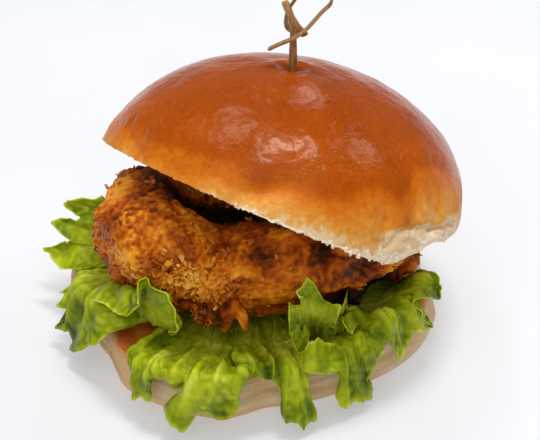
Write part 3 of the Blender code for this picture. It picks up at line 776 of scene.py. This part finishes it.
def curvature(mesh):
    """Raised points above zero, hollows below, from each point's neighbours."""
    def read(items, name, width, kind):
        out = np.empty(len(items) * width, dtype=kind)
        items.foreach_get(name, out)
        return out.reshape(-1, width)

    co = read(mesh.vertices, "co", 3, float)
    normals = read(mesh.vertices, "normal", 3, float)
    ends = read(mesh.edges, "vertices", 2, np.int64)
    value = co.copy()
    for _ in range(3):
        total = np.zeros_like(co)
        hits = np.zeros(len(co))
        for a, b in ((0, 1), (1, 0)):
            np.add.at(total, ends[:, a], value[ends[:, b]])
            np.add.at(hits, ends[:, a], 1)
        value = total / hits[:, None]
    lift = ((co - value) * normals).sum(1) / MM
    return np.clip(lift * 0.8, -0.13, 0.16)


# Hanging crumbs: upper and lower end (azimuth, radius, height), half width, tone
DRIPS = (((-97, 40.5, 33), (-91.8, 43.6, 24.8), 1.5, 0.16),
         ((-99.5, 39.5, 31), (-98.5, 41, 26), 2.6, 0.02),
         ((-104.5, 38, 31), (-102, 40, 24.5), 3.3, -0.04),
         ((-111.5, 37.5, 31), (-110, 38.5, 24.5), 3.4, -0.22),
         ((-118.5, 39, 32), (-117.5, 40.5, 25.5), 2.8, -0.26))


def build_drips(mat):
    """Crumbs of batter that hang under the front of the fillet."""
    verts = []
    quads = []
    peak = []
    for k, (high, low, half, tint) in enumerate(DRIPS):
        a = polar(*high)
        b = polar(*low)
        along = (b - a).normalized()
        side = along.cross(Vector((0, 1, 0.3))).normalized()
        ahead = side.cross(along)
        rings = []
        for j in range(DRIP_ROWS + 1):
            t = j / DRIP_ROWS
            wide = half * sin(pi * (0.04 + 0.92 * t)) ** 0.6
            ring = []
            for i in range(DRIP_AROUND):
                turn = tau * i / DRIP_AROUND
                q = a.lerp(b, t) + wide * (side * cos(turn) - ahead * sin(turn))
                out = (q - a.lerp(b, t)).normalized()
                crag = rough_at(q, 2.6, 7 + k)
                q += out * (0.42 * half * rough_at(q, 4.2, 9 + k) + 0.9 * crag
                            + 0.4 * rough_at(q, 1.1, 3))
                ring.append(q)
                # Painted shade: the tone is lighter where the crags stand out.
                peak.append(0.44 + tint + 0.35 * crag + 0.1 * t)
            rings.append(add_ring(verts, ring))
        quads += ring_faces(rings)
        quads.append(tuple(reversed(rings[0])))
        quads.append(tuple(rings[-1]))
    settle(add_mesh("crumb_drips", verts, quads, mat, {"peak": peak}), "fried_crumb")


def build_flakes(mat, fillet):
    """Curled chips of fried crumb standing out of the batter, as one piece."""
    rng = random.Random(11)
    faces = fillet.data.polygons
    total = np.cumsum([f.area for f in faces])
    verts = []
    quads = []
    tone = []
    made = 0
    for _ in range(FLAKE_TRIES):
        f = faces[int(np.searchsorted(total, rng.random() * total[-1]))]
        p = f.center / MM
        n = Vector(f.normal)
        pick = rng.random()
        if p.y > 6 or p.z < 19.5 or n.z < -0.6:
            continue
        light = bump(p.x, -17, 9) * bump(p.z, 38.5, 8)
        if pick > flaky_at(p) ** 1.8 * 0.75 + 0.03 + 0.5 * light - shade_at(p):
            continue
        made += 1
        if made > FLAKES:
            break
        side = n.cross(Vector((rng.uniform(-1, 1), rng.uniform(-1, 1),
                               rng.uniform(-1, 1)))).normalized()
        tilt = rng.uniform(0.1, 0.75)
        ahead = (n.cross(side) * cos(tilt) + n * sin(tilt)).normalized()
        up = side.cross(ahead).normalized()
        long = rng.uniform(0.8, 2.6) * rng.choice((0.7, 1, 1, 1.3))
        wide = long * rng.uniform(0.35, 0.75)
        thick = rng.uniform(0.12, 0.24)
        curl = rng.uniform(-0.5, 0.7)
        twist = rng.uniform(-0.5, 0.5)
        shade = rng.uniform(0, 0.55) + 0.5 * light
        start = len(verts)
        nu, nv = 5, 4
        for layer in (1, -1):
            for j in range(nv):
                t = j / (nv - 1) * 2 - 1
                for i in range(nu):
                    s = i / (nu - 1) * 2 - 1
                    round_off = sqrt(max(0.05, 1 - 0.55 * t * t))
                    x = s * 0.5 * long * round_off
                    y = t * 0.5 * wide * sqrt(max(0.08, 1 - 0.8 * s * s))
                    y *= 1 + 0.3 * sin(3 * s + made)
                    z = curl * 0.5 * long * s * s + twist * 0.4 * wide * s * t
                    edge = (1 - s ** 4) * (1 - t ** 4)
                    z += layer * thick * (0.25 + 0.75 * edge)
                    q = p + ahead * (x + 0.15 * long) + side * y + up * z
                    verts.append(q)
                    tone.append(shade + 0.15 * s)
        for j in range(nv - 1):
            for i in range(nu - 1):
                a = start + j * nu + i
                b, c, d = a + 1, a + nu + 1, a + nu
                quads += [(a, b, c, d), tuple(nu * nv + q for q in (a, d, c, b))]
        quads += sheet_rim(nu, nv, start)
    settle(add_mesh("crumb_flakes", verts, quads, mat, {"tone": tone}), "fried_crumb")


# ---- lettuce

# Each leaf: root azimuth range, root radius and height, then one group for each
# rib: azimuth, radius and height of its crest, and the same of its margin.
LEAVES = {
    "lettuce_left_back": ((-176, 164, 26, 15.3), (
        (-171, 44, 17, -171, 49, 18), (-174, 47, 18, -175, 56, 16),
        (-178, 48, 19, -179, 59, 17), (-180, 48, 19.5, 179.6, 61, 18.5),
        (-180, 48, 20, -179.8, 54, 19.5), (179, 48, 20.5, 179, 51, 21),
        (177.5, 48, 21, 176, 56, 20.5), (176, 47, 22, 171.5, 60, 22.5),
        (174.5, 46, 23, 173.5, 53, 23.5), (173, 45, 24, 172, 50.5, 25),
        (171.5, 43.5, 25.5, 167.5, 57, 25), (170, 42, 26.5, 166.5, 58, 26.5),
        (169.5, 41, 27.5, 169, 49, 29.5), (169, 40, 28, 171, 44, 32))),
    "lettuce_left": ((-175, -124, 26, 15.3), (
        (-167, 46, 18, -166, 50, 18), (-164, 49, 19, -164, 53, 17.5),
        (-163, 50, 19, -163, 57, 15.5), (-160, 50, 20, -160, 53.5, 14.5),
        (-158.5, 50, 21, -161, 58, 12.5), (-156, 50, 21, -156, 54, 13),
        (-155, 51, 22, -160, 59, 6), (-152, 51, 23, -155.5, 57, 7),
        (-149, 51, 24, -152, 58, 4.5), (-145, 51, 24, -146, 57.5, 6),
        (-141, 51, 23, -140.5, 55.5, 12), (-137, 49, 22, -137, 52, 17),
        (-134, 47, 20, -134, 49, 18.5), (-132, 43, 18, -132, 46, 18.5))),
    "lettuce_left_inner": ((-158, -120, 38.5, 16.8), (
        (-152, 44, 22, -150, 47, 24), (-148, 46, 25, -146, 50, 24.5),
        (-143, 47, 28, -142, 53, 24.5), (-138, 47.5, 30, -136, 54, 28),
        (-134, 48, 32, -130, 55, 28.3), (-130, 48, 33, -125.5, 54.5, 29.5),
        (-126, 48, 34, -121.2, 53, 34), (-124.5, 48, 35, -124.5, 49.5, 38.8),
        (-121.5, 48, 34, -121.5, 49.5, 38.8), (-118, 47.5, 31, -117, 49.8, 35),
        (-116, 47, 28, -113.6, 50.3, 33.8), (-115.5, 45.5, 25, -111.8, 52, 29.5),
        (-119, 44, 21, -117, 49, 25))),
    "lettuce_front_left": ((-129, -90, 25, 15.3), (
        (-126, 44, 18.5, -123, 50, 18), (-124, 49, 19, -125, 56, 15.5),
        (-123, 53, 19, -123.5, 57, 13), (-122.5, 55, 18.5, -124, 57.5, 8),
        (-121.5, 56, 18, -123.5, 58, 4.2), (-120, 56.5, 18, -121, 57.5, 6.5),
        (-118.5, 57, 18, -118, 58, 5.5), (-117, 57, 18.5, -118, 57.5, 11),
        (-115.5, 57, 19, -116, 57, 15), (-112.5, 57, 19.5, -112.5, 57, 17),
        (-110.5, 57, 20, -110.5, 57.5, 14), (-108, 57, 20, -107.5, 57, 15.5),
        (-106.5, 57, 20, -106.5, 57.5, 12.5), (-105.5, 57.5, 20, -110.5, 59.5, 5.5),
        (-105, 58, 20, -107.5, 60, 2.8), (-103.5, 58, 20, -104.3, 58.5, 7.5),
        (-101, 58, 20.5, -101.5, 58, 6.8), (-98, 58, 21, -97.5, 58, 6.5),
        (-95, 58, 21, -93.8, 58, 8.5), (-93.5, 57, 21.5, -93, 57.5, 14),
        (-92, 55, 22, -92, 57, 18.5), (-90, 51, 21, -90, 54, 20))),
    "lettuce_front": ((-100, -68, 25, 15.3), (
        (-96, 49, 21, -95, 53, 21.5), (-93, 52, 22.5, -92.2, 55, 21),
        (-90, 52, 22, -89.2, 54.5, 18.5), (-87, 52, 21.5, -86.3, 53.5, 16.3),
        (-85, 52, 21, -83.6, 53.5, 14.5), (-83.5, 52.5, 20.5, -82.6, 55, 10),
        (-82, 53, 20, -82.3, 56.5, 6.5), (-80.5, 53, 20, -80.8, 57.5, 3.5),
        (-79, 53, 20, -78, 57.5, 1.8), (-77.8, 53, 20, -75.8, 57.5, 1.3),
        (-77, 53, 20, -74, 57, 2.8), (-76.3, 53, 20, -74.3, 55.5, 7),
        (-75.8, 53, 20, -75.6, 54, 11), (-75, 52.5, 20.5, -76, 53.5, 15),
        (-74, 50.5, 21, -74.5, 53, 19))),
    "lettuce_curl": ((-79, -64, 40, 17.2), (
        (-73.5, 47.5, 28, -71.5, 48, 26), (-74, 48, 28.5, -72.8, 49.5, 25.6),
        (-74.5, 48.5, 28, -72.6, 50.5, 22.2), (-75.2, 49, 28, -74.4, 51.5, 19.8),
        (-76, 48.5, 29, -77.4, 51, 23), (-76.5, 48, 30, -79, 49.5, 28),
        (-76.5, 48, 31.5, -79.4, 49.5, 33), (-76.3, 48, 32.5, -78.7, 49.3, 38),
        (-75.8, 47.7, 32.5, -76.3, 48.3, 35), (-74.8, 47.3, 32.5, -73, 48, 34),
        (-74, 47, 33, -73.2, 48, 37.5), (-73.3, 47, 33.5, -75.9, 48.3, 40.6),
        (-72.8, 47, 34, -73.6, 47.3, 41.8), (-72.3, 46.5, 34, -72.6, 47, 44),
        (-71.5, 46.5, 33, -69.5, 47, 40), (-70.5, 46, 32, -66, 47, 34.5),
        (-69, 46, 30.5, -62.5, 46.8, 31), (-67, 46, 28, -59.5, 46.5, 30),
        (-66, 46, 26, -61.5, 47.5, 27), (-66, 46, 24, -63, 47.5, 24))),
    "lettuce_fold": ((-78, -62, 42, 17.5), (
        (-77, 53, 20.5, -76, 53, 24), (-76, 55, 19.5, -75, 53, 26),
        (-74.5, 56, 19, -73.5, 52.5, 27.3), (-72, 56.5, 18.6, -71, 52, 27.6),
        (-69, 56.8, 18.2, -68, 52.5, 26.3), (-66, 56.5, 18.2, -65.5, 53, 23.5),
        (-64.5, 55.5, 19, -64, 53.8, 21))),
    "lettuce_right_front": ((-76, -46, 28, 15.3), (
        (-70, 49, 20, -69, 52, 20), (-67.5, 50.5, 20.5, -66.5, 53, 17),
        (-65.8, 51.5, 20.5, -64.8, 53.5, 13), (-64.8, 52, 20.5, -64.6, 54, 9),
        (-64, 52.5, 20, -64.8, 56, 3.2), (-63, 52.5, 20, -62.6, 56, 4.2),
        (-62, 52.5, 20, -60.6, 56, 4.2), (-60.8, 52.5, 20, -58.3, 56.5, 3.3),
        (-59.8, 52.5, 20.5, -55.7, 57, 1.6), (-59, 52.5, 21, -54, 55.5, 4.5),
        (-58.2, 52.5, 21.5, -56.3, 54.5, 8), (-57, 52.5, 22, -54.5, 55, 13),
        (-55.5, 52.5, 22.5, -52, 55.5, 18), (-53, 51, 22, -51.5, 54.5, 21))),
    "lettuce_frond": ((-61, -53, 41, 17.5), (
        (-60, 45, 24, -61.6, 48.5, 27), (-58.5, 45.5, 25, -60, 49.5, 23.5),
        (-58, 46, 25.5, -58.5, 50, 22), (-57, 46, 26, -56, 49, 24),
        (-56, 46, 26, -53, 48.5, 22.5), (-54.5, 45.5, 25.5, -45, 48, 20),
        (-54.5, 45, 26, -50.5, 46, 24.2), (-55, 44.5, 26, -53.5, 45.5, 27.8),
        (-56, 44, 26, -55.5, 44.5, 26.5), (-57, 44, 26, -57.3, 45, 30.2),
        (-59, 44, 25.5, -59.5, 46, 27))),
    "lettuce_right": ((-56, -14, 29, 15.3), (
        (-54, 50.5, 23, -54.5, 54, 21.5), (-52.5, 51, 24, -51.8, 55, 20.5),
        (-50.5, 51.5, 24.5, -49, 55, 17), (-48.5, 52, 25, -47, 56, 13.5),
        (-46.5, 52, 25.5, -45.5, 56.5, 9), (-44, 52, 25.5, -42, 56, 12.7),
        (-41, 52, 25, -39, 56, 15.9), (-38, 52, 24.5, -35.2, 56, 13.8),
        (-35.5, 52, 24, -30, 57, 12.4), (-34.5, 52, 24.5, -32.6, 56, 16.5),
        (-34.2, 51.5, 25, -34.6, 56, 21), (-34.2, 51.5, 25.5, -36, 55, 23.6),
        (-33.5, 51.5, 26, -36.3, 54.8, 25.6), (-31, 51.5, 26.5, -31.8, 56, 23),
        (-28, 51.5, 27, -25.2, 57, 19.7), (-26, 51, 27, -25.8, 57, 23.5),
        (-25.5, 50.5, 27, -27.2, 57, 26), (-25, 49.5, 27, -27, 55, 28.8),
        (-25, 47, 26.5, -26.5, 50, 27.5))),
    "lettuce_right_back": ((14, 50, 26, 15.3), (
        (14, 40, 17, 14, 44, 16), (18, 41, 18, 18, 47, 16), (23, 43, 18, 23, 46, 18),
        (28, 46, 18, 28, 52, 16), (34, 47, 19, 34, 50, 19), (42, 47, 19, 42, 54, 14),
        (50, 45, 18, 50, 48, 18))),
    "lettuce_back": ((66, 128, 27, 15.3), (
        (62, 42, 18, 60, 48, 16), (72, 44, 20, 70, 52, 11), (82, 45, 20, 83, 50, 16),
        (92, 46, 21, 92, 53, 12), (102, 46, 20, 102, 50, 17), (112, 47, 20, 114, 54, 10),
        (122, 46, 19, 124, 52, 16))),
}


def leaf_ribs(spec):
    """Each rib as four places (azimuth, radius, height) from root to margin."""
    (a0, a1, r0, z0), rows = spec
    a1 = unwrap(a1, a0)
    ribs = []
    for k, (ca, cr, cz, ma, mr, mz) in enumerate(rows):
        ra = a0 + (a1 - a0) * k / (len(rows) - 1)
        ca = unwrap(ca, ra)
        ma = unwrap(ma, ca)
        mid = Vector((0.5 * (ra + ca), 0.5 * (r0 + cr), z0 + 0.15 * (cz - z0)))
        ribs.append((Vector((ra, r0, z0)), mid, Vector((ca, cr, cz)),
                     Vector((ma, mr, mz))))
    return ribs


def sheet_normals(grid):
    """Unit normals of a grid of points, from its neighbours along and across."""
    nv = len(grid) - 1
    nu = len(grid[0]) - 1
    out = []
    for j in range(nv + 1):
        row = []
        for i in range(nu + 1):
            du = grid[j][min(i + 1, nu)] - grid[j][max(i - 1, 0)]
            dv = grid[min(j + 1, nv)][i] - grid[max(j - 1, 0)][i]
            n = dv.cross(du)
            row.append(n.normalized() if n.length > 1e-9 else Vector((0, 0, 1)))
        out.append(row)
    return out


def beside_heel(p, gap):
    """The point, pushed out of the heel's side to keep a gap to it."""
    r = hypot(p.x / HEEL_RX, p.y / HEEL_RY)
    r /= heel_reach(atan2(p.y / HEEL_RY, p.x / HEEL_RX))
    least = 1 + gap / HEEL_RX
    near = smooth(HEEL_H + 3.5, HEEL_H + 0.5, p.z) * smooth(0.8, 0.9, r)
    if r < least and near > 0:
        k = 1 + (least / r - 1) * near
        p = Vector((p.x * k, p.y * k, p.z))
    return p


def clear_of(p, solids):
    """The point, lifted off each solid's surface where it is nearer than its gap."""
    for tree, thick, gap in solids:
        near, normal, _, dist = tree.find_nearest(p)
        if near is None:
            continue
        away = p - near
        if away.dot(normal) < 0:
            if dist < thick:
                p = near + normal * gap
        elif dist < gap:
            p = near + (away.normalized() if dist > 0.05 else normal) * gap
    return p


def surface_of(obj):
    points = [v.co / MM for v in obj.data.vertices]
    return BVHTree.FromPolygons(points, [tuple(p.vertices) for p in obj.data.polygons])


def straight(points, t):
    """Point at t (0..1) on the straight line through the given points."""
    s = min(max(t, 0), 1) * (len(points) - 1)
    i = min(int(s), len(points) - 2)
    return points[i].lerp(points[i + 1], s - i)


def leaf_grid(spec, seed):
    """The leaf's even sheet of points, with cusps and teeth along its margin."""
    ribs = leaf_ribs(spec)
    lines = list(zip(*ribs))
    nu = LEAF_COLUMNS * len(ribs)
    reach = []
    for i in range(nu + 1):
        u = i / nu * len(ribs)
        cusp = abs(noise_at(u * 0.55, seed, 0)) ** 0.7
        tooth = abs(noise_at(u * 1.5, seed, 4)) ** 0.8
        reach.append(1 - 0.06 * cusp - 0.022 * tooth)
    grid = []
    for j in range(LEAF_ROWS + 1):
        row = []
        for i in range(nu + 1):
            v = (j / LEAF_ROWS) ** 0.8 * reach[i]
            across = [catmull(line, i / nu) for line in lines]
            across[3] = across[3].lerp(straight(lines[3], i / nu), 0.7)
            row.append(catmull([polar(*p) for p in across], v))
        grid.append(row)
    return grid


def leaf_skin(p, n, u, v, seed, lively, fillet_shadow, solids):
    """A point of the sheet raised into waves, pleats and blisters: place, tone with
    painted light and shade, vein.
    """
    wave = rough_at(p, 8, seed) + 0.6 * rough_at(p, 4.6, seed + 3)
    h = smooth(0.4, 0.9, v) * 1.3 * wave * lively
    curl = smooth(0.62, 1, v)
    h += curl * 1.7 * lively * noise_at(u * 0.62, seed + 9, 0.6 * v)
    pleat = 0.35 - abs(noise_at(u * 0.42, 1.1 * v, seed + 5)) * 1.6
    h += 1.9 * lively * pleat * smooth(0.25, 0.65, v)
    lean = u / 4.2 + 0.8 * rough_at(p, 12, seed + 1)
    main = abs(lean - round(lean)) * 4.2
    line = bump(main, 0, 0.08 + 0.14 * (1 - v)) * smooth(0.95, 0.6, v)
    wet = smooth(1, 0.72, v) * smooth(-0.1, 0.35, rough_at(p, 15, seed + 6))
    wet *= lively
    dist = noise.voronoi(p / 3.8 + Vector((seed, 0, 0)))[0]
    dome = max(-0.4, 1 - (dist[0] / 0.62) ** 2)
    seam = smooth(0, 0.16, dist[1] - dist[0])
    fine = abs(rough_at(p, 2.4, seed + 2))
    h += (0.04 + 0.12 * wet) * dome * (0.5 + 0.5 * seam) + 0.55 * fine
    h += 0.5 * abs(rough_at(p, 5.5, seed + 12)) - 0.35 * line
    h -= 0.25 * line * (1 - curl)
    p = beside_heel(clear_of(p + n * h, solids), 1.2)
    p.z = max(p.z, 0.7)
    net = (1 - seam) * smooth(0.98, 0.85, v)
    near = solids[0][0].find_nearest(p)[3]
    # Painted light and shade: lighter near the root where the fillet overhangs, lighter
    # on pleat ridges, blister domes and crinkles and darker in their folds, and darker
    # near the fillet. The lobes are darker olive, the rims paler, and the tone varies at
    # random and darkens towards the bottom.
    tone = (0.7 - 0.12 * lively - 0.24 * smooth(0.5, 0.9, v)
            + 0.34 * smooth(0.96, 1, v)
            + 0.24 * pleat - fillet_shadow * smooth(4.8, 0.8, near)
            + 0.04 * wet * (dome - 0.4)
            + 0.22 * fine + 0.34 * rough_at(p, 9, 2)
            - 0.12 * smooth(15, 7, p.z))
    return p, tone, max(line, net * (0.45 + 0.5 * wet))


def hollow_shade(grid, normal, j, i):
    """How much a hollow of the sheet is darker, or a swelling lighter."""
    ring = (grid[max(j - 2, 0)][i], grid[min(j + 2, len(grid) - 1)][i],
            grid[j][max(i - 3, 0)], grid[j][min(i + 3, len(grid[j]) - 1)])
    dip = (sum(ring, Vector()) / 4 - grid[j][i]).dot(normal)
    return min(0.14, max(-0.14, 0.5 * dip))


def build_leaf(name, spec, mat, seed, solids):
    """A lettuce leaf, from its sheet of ribs, as a thin closed piece."""
    ribs = len(spec[1])
    lively = 0.4 if name in ("lettuce_curl", "lettuce_fold", "lettuce_frond") else 1
    # Painted shadow of the fillet, darkening leaves close to it, weaker on the inner left
    # leaf.
    fillet_shadow = 0.15 if name == "lettuce_left_inner" else 0.5
    sheet = leaf_grid(spec, seed)
    normals = sheet_normals(sheet)
    wide = len(sheet[0])
    grid = []
    tone = []
    vein = []
    for j in range(LEAF_ROWS + 1):
        v = (j / LEAF_ROWS) ** 0.8
        row = []
        for i in range(wide):
            p, light, line = leaf_skin(sheet[j][i], normals[j][i], i / (wide - 1) * ribs,
                                       v, seed, lively, fillet_shadow, solids)
            row.append(p)
            tone.append(light)
            vein.append(line)
        grid.append(row)
    normals = sheet_normals(grid)
    top = []
    low = []
    for j in range(LEAF_ROWS + 1):
        half = LEAF_HALF * (1 - 0.45 * smooth(0.7, 1, j / LEAF_ROWS))
        for i in range(wide):
            tone[len(top)] -= hollow_shade(grid, normals[j][i], j, i)
            top.append(grid[j][i] + normals[j][i] * half)
            low.append(grid[j][i] - normals[j][i] * half)
    faces = []
    for j in range(LEAF_ROWS):
        for i in range(wide - 1):
            a = j * wide + i
            quad = (a, a + 1, a + wide + 1, a + wide)
            faces += [quad, tuple(len(top) + q for q in reversed(quad))]
    faces += sheet_rim(wide, LEAF_ROWS + 1)
    marks = {"tone": tone * 2, "vein": vein * 2}
    settle(add_mesh(name + "_leaf", top + low, faces, mat, marks), "lettuce", name)


# ---- pick

# The knot's line from the top of the straight stem to its free tip
KNOT = ((0, 0, -3), (0, 0.3, 0), (-0.6, 0.8, 4), (-1.8, 0.6, 7.6),
        (-2.2, -0.4, 8.6), (-1.2, -1.6, 6.5), (0.8, -2, 3), (2.6, -1.5, 0.4),
        (3, 0, -0.9), (1.2, 1.7, -1.2), (-1.6, 1.8, 0.5), (-1.5, 2.1, 4.5),
        (0.5, 1.7, 8.5), (3, 0.8, 11.8), (6.5, 0, 13.4), (9.3, -0.6, 11.5),
        (9.6, -0.8, 8.8), (7.2, -1.2, 6.2), (3.4, -2.9, 2.4), (0, -3.2, -0.2),
        (-3.2, -2, -2.4), (-6.3, -1.2, -4.5))


def build_pick(mat):
    """The bamboo pick: a straight stem and the loose knot at its top, flat in section."""
    base = Vector((PICK_X, PICK_Y, KNOT_Z))
    path = [Vector((PICK_X, PICK_Y, z)) for z in (5, 30, 60, 72, 76, 80)]
    knot = [base + Vector(p) for p in KNOT]
    steps = 6 * (len(knot) - 1)
    path += [catmull(knot, k / steps) for k in range(steps + 1)]
    side = Vector((1, 0, 0))
    verts = []
    rings = []
    for k, p in enumerate(path):
        ahead = path[min(k + 1, len(path) - 1)]
        behind = path[max(k - 1, 0)]
        tangent = (ahead - behind).normalized()
        side = (side - tangent * side.dot(tangent)).normalized()
        flat = tangent.cross(side)
        loop = smooth(78, 90, p.z) if k < 12 else 1
        w = 0.5 * (2.3 - 0.55 * loop)
        t = 0.5 * (1 - 0.15 * loop)
        if k == 0:
            w *= 0.5
            t *= 0.5
        ring = []
        for i in range(PICK_AROUND):
            b = tau * i / PICK_AROUND
            c = copysign(abs(cos(b)) ** 0.5, cos(b))
            d = copysign(abs(sin(b)) ** 0.6, sin(b))
            q = p + side * (c * w) + flat * (d * t)
            q += flat * (0.05 * rough_at((c * 4, p.z * 0.2, k * 0.1), 0.9, 3))
            ring.append(q)
        rings.append(add_ring(verts, ring))
    rings = [add_ring(verts, path[:1])] + rings + [add_ring(verts, path[-1:])]
    settle(add_mesh("bamboo_pick", verts, ring_faces(rings), mat), "bamboo", "pick")


# ---- crumb fringe

def build_fringe(mat, rim):
    """Small tufts of crumb torn along the crown's cut edge, as one piece."""
    rng = random.Random(23)
    down = CROWN_TURN @ Vector((0, 0, -1))
    n = len(rim)
    middle = sum(rim, Vector()) / n
    verts = []
    faces = []
    for _ in range(TUFTS):
        i = rng.randrange(n)
        # The rim's first fifth, at the left, is whole
        whole = i < 0.2 * n
        if whole or noise_at(i * 0.11, 3, 1) < rng.uniform(-0.3, 0.5):
            continue
        out = (rim[i] - middle).normalized()
        size = rng.uniform(0.2, 0.6)
        p = rim[i] - out * rng.uniform(0.1, 1.2) - down * rng.uniform(0.1, 0.5)
        bm = bmesh.new()
        bmesh.ops.create_icosphere(bm, subdivisions=1, radius=1)
        turn = rng.uniform(0, 6.3)
        axis = Vector((rng.random(), rng.random(), rng.random())).normalized()
        spin = Matrix.Rotation(turn, 3, axis)
        start = len(verts)
        stretch = rng.uniform(1, 1.9)
        for v in bm.verts:
            q = spin @ v.co
            q = q * (size * (1 + 0.5 * rough_at(q * 9, 4, i * 0.7)))
            q += down * (q.dot(down) * (stretch - 1))
            verts.append(p + q)
        faces += [tuple(start + v.index for v in f.verts) for f in bm.faces]
        bm.free()
    marks = {"bake": [0] * len(verts), "crumb": [1] * len(verts)}
    settle(add_mesh("crumb_fringe", verts, faces, mat, marks), "bun_crust")


# ---- stage

# Each light: name, place in metres, its two sizes, power and colour
COOL = (0.92, 0.96, 1)
WHITE = (1, 1, 1)
LIGHTS = (("top_box", (0.078, 0.015, 0.66), (0.1, 0.15), 2.3, COOL),
          ("back_left_box", (-0.15, 0.21, 0.6), (0.17, 0.1), 0.62, COOL),
          ("back_right_box", (0.38, 0.15, 0.47), (0.13, 0.09), 0.46, COOL),
          ("back_box", (0.1, 0.46, 0.43), (0.1, 0.12), 0.32, COOL),
          ("front_box", (-0.3, -0.8, 1.25), (2, 1.4), 9.3, WHITE),
          ("low_box", (-0.4, -1.4, 0.45), (1.2, 0.8), 2.6, WHITE))
LIGHT_AIM = Vector((0, 0, 0.04))


def area_light(name, place, size, power, colour):
    light = bpy.data.lights.new(name, "AREA")
    light.shape = "RECTANGLE"
    light.size = size[0]
    light.size_y = size[1]
    light.energy = power
    light.color = colour
    obj = link(bpy.data.objects.new(name, light))
    obj.location = place
    obj.rotation_euler = (LIGHT_AIM - Vector(place)).to_track_quat("-Z", "Y").to_euler()


def build_stage():
    """A wide white floor just under the burger, the room's light and the lamps."""
    side = 3000
    corners = ((-side, -side, 0), (side, -side, 0), (side, side, 0), (-side, side, 0))
    floor = add_mesh("floor", corners, ((0, 1, 2, 3),), floor_material())
    floor.location.z = -0.0002
    world = bpy.data.worlds.new("studio")
    world.use_nodes = True
    background = world.node_tree.nodes["Background"]
    background.inputs["Color"].default_value = (1, 1, 1, 1)
    background.inputs["Strength"].default_value = 0.26
    bpy.context.scene.world = world
    for light in LIGHTS:
        area_light(*light)


def build_camera():
    """A long lens in front of the burger, looking down on it from 36 degrees up."""
    target = Vector((0.0046, 0, 0.0287))
    elevation = radians(36)
    away = 0.45
    place = target + away * Vector((0, -cos(elevation), sin(elevation)))
    data = bpy.data.cameras.new("camera")
    data.sensor_width = 36
    data.lens = 106.5
    data.clip_start = 0.01
    cam = link(bpy.data.objects.new("camera", data))
    cam.location = place
    cam.rotation_euler = (target - place).to_track_quat("-Z", "Y").to_euler()
    bpy.context.scene.camera = cam


# ---- assembly

bpy.context.scene.view_settings.view_transform = "Standard"
build_camera()
build_stage()
crust = crust_material()
crown, rim_line = build_crown(crust)
build_fringe(crust, rim_line)
build_heel(side_material())
batter = batter_material()
fillet = build_fillet(batter)
build_drips(batter)
build_flakes(flake_material(), fillet)
green = leaf_material()
solids = [(surface_of(fillet), 5, 0.9), (surface_of(crown), 3, 0.8)]
for index, (leaf_name, leaf_spec) in enumerate(LEAVES.items()):
    build_leaf(leaf_name, leaf_spec, green, 11 + 5 * index, solids)
build_pick(bamboo_material())
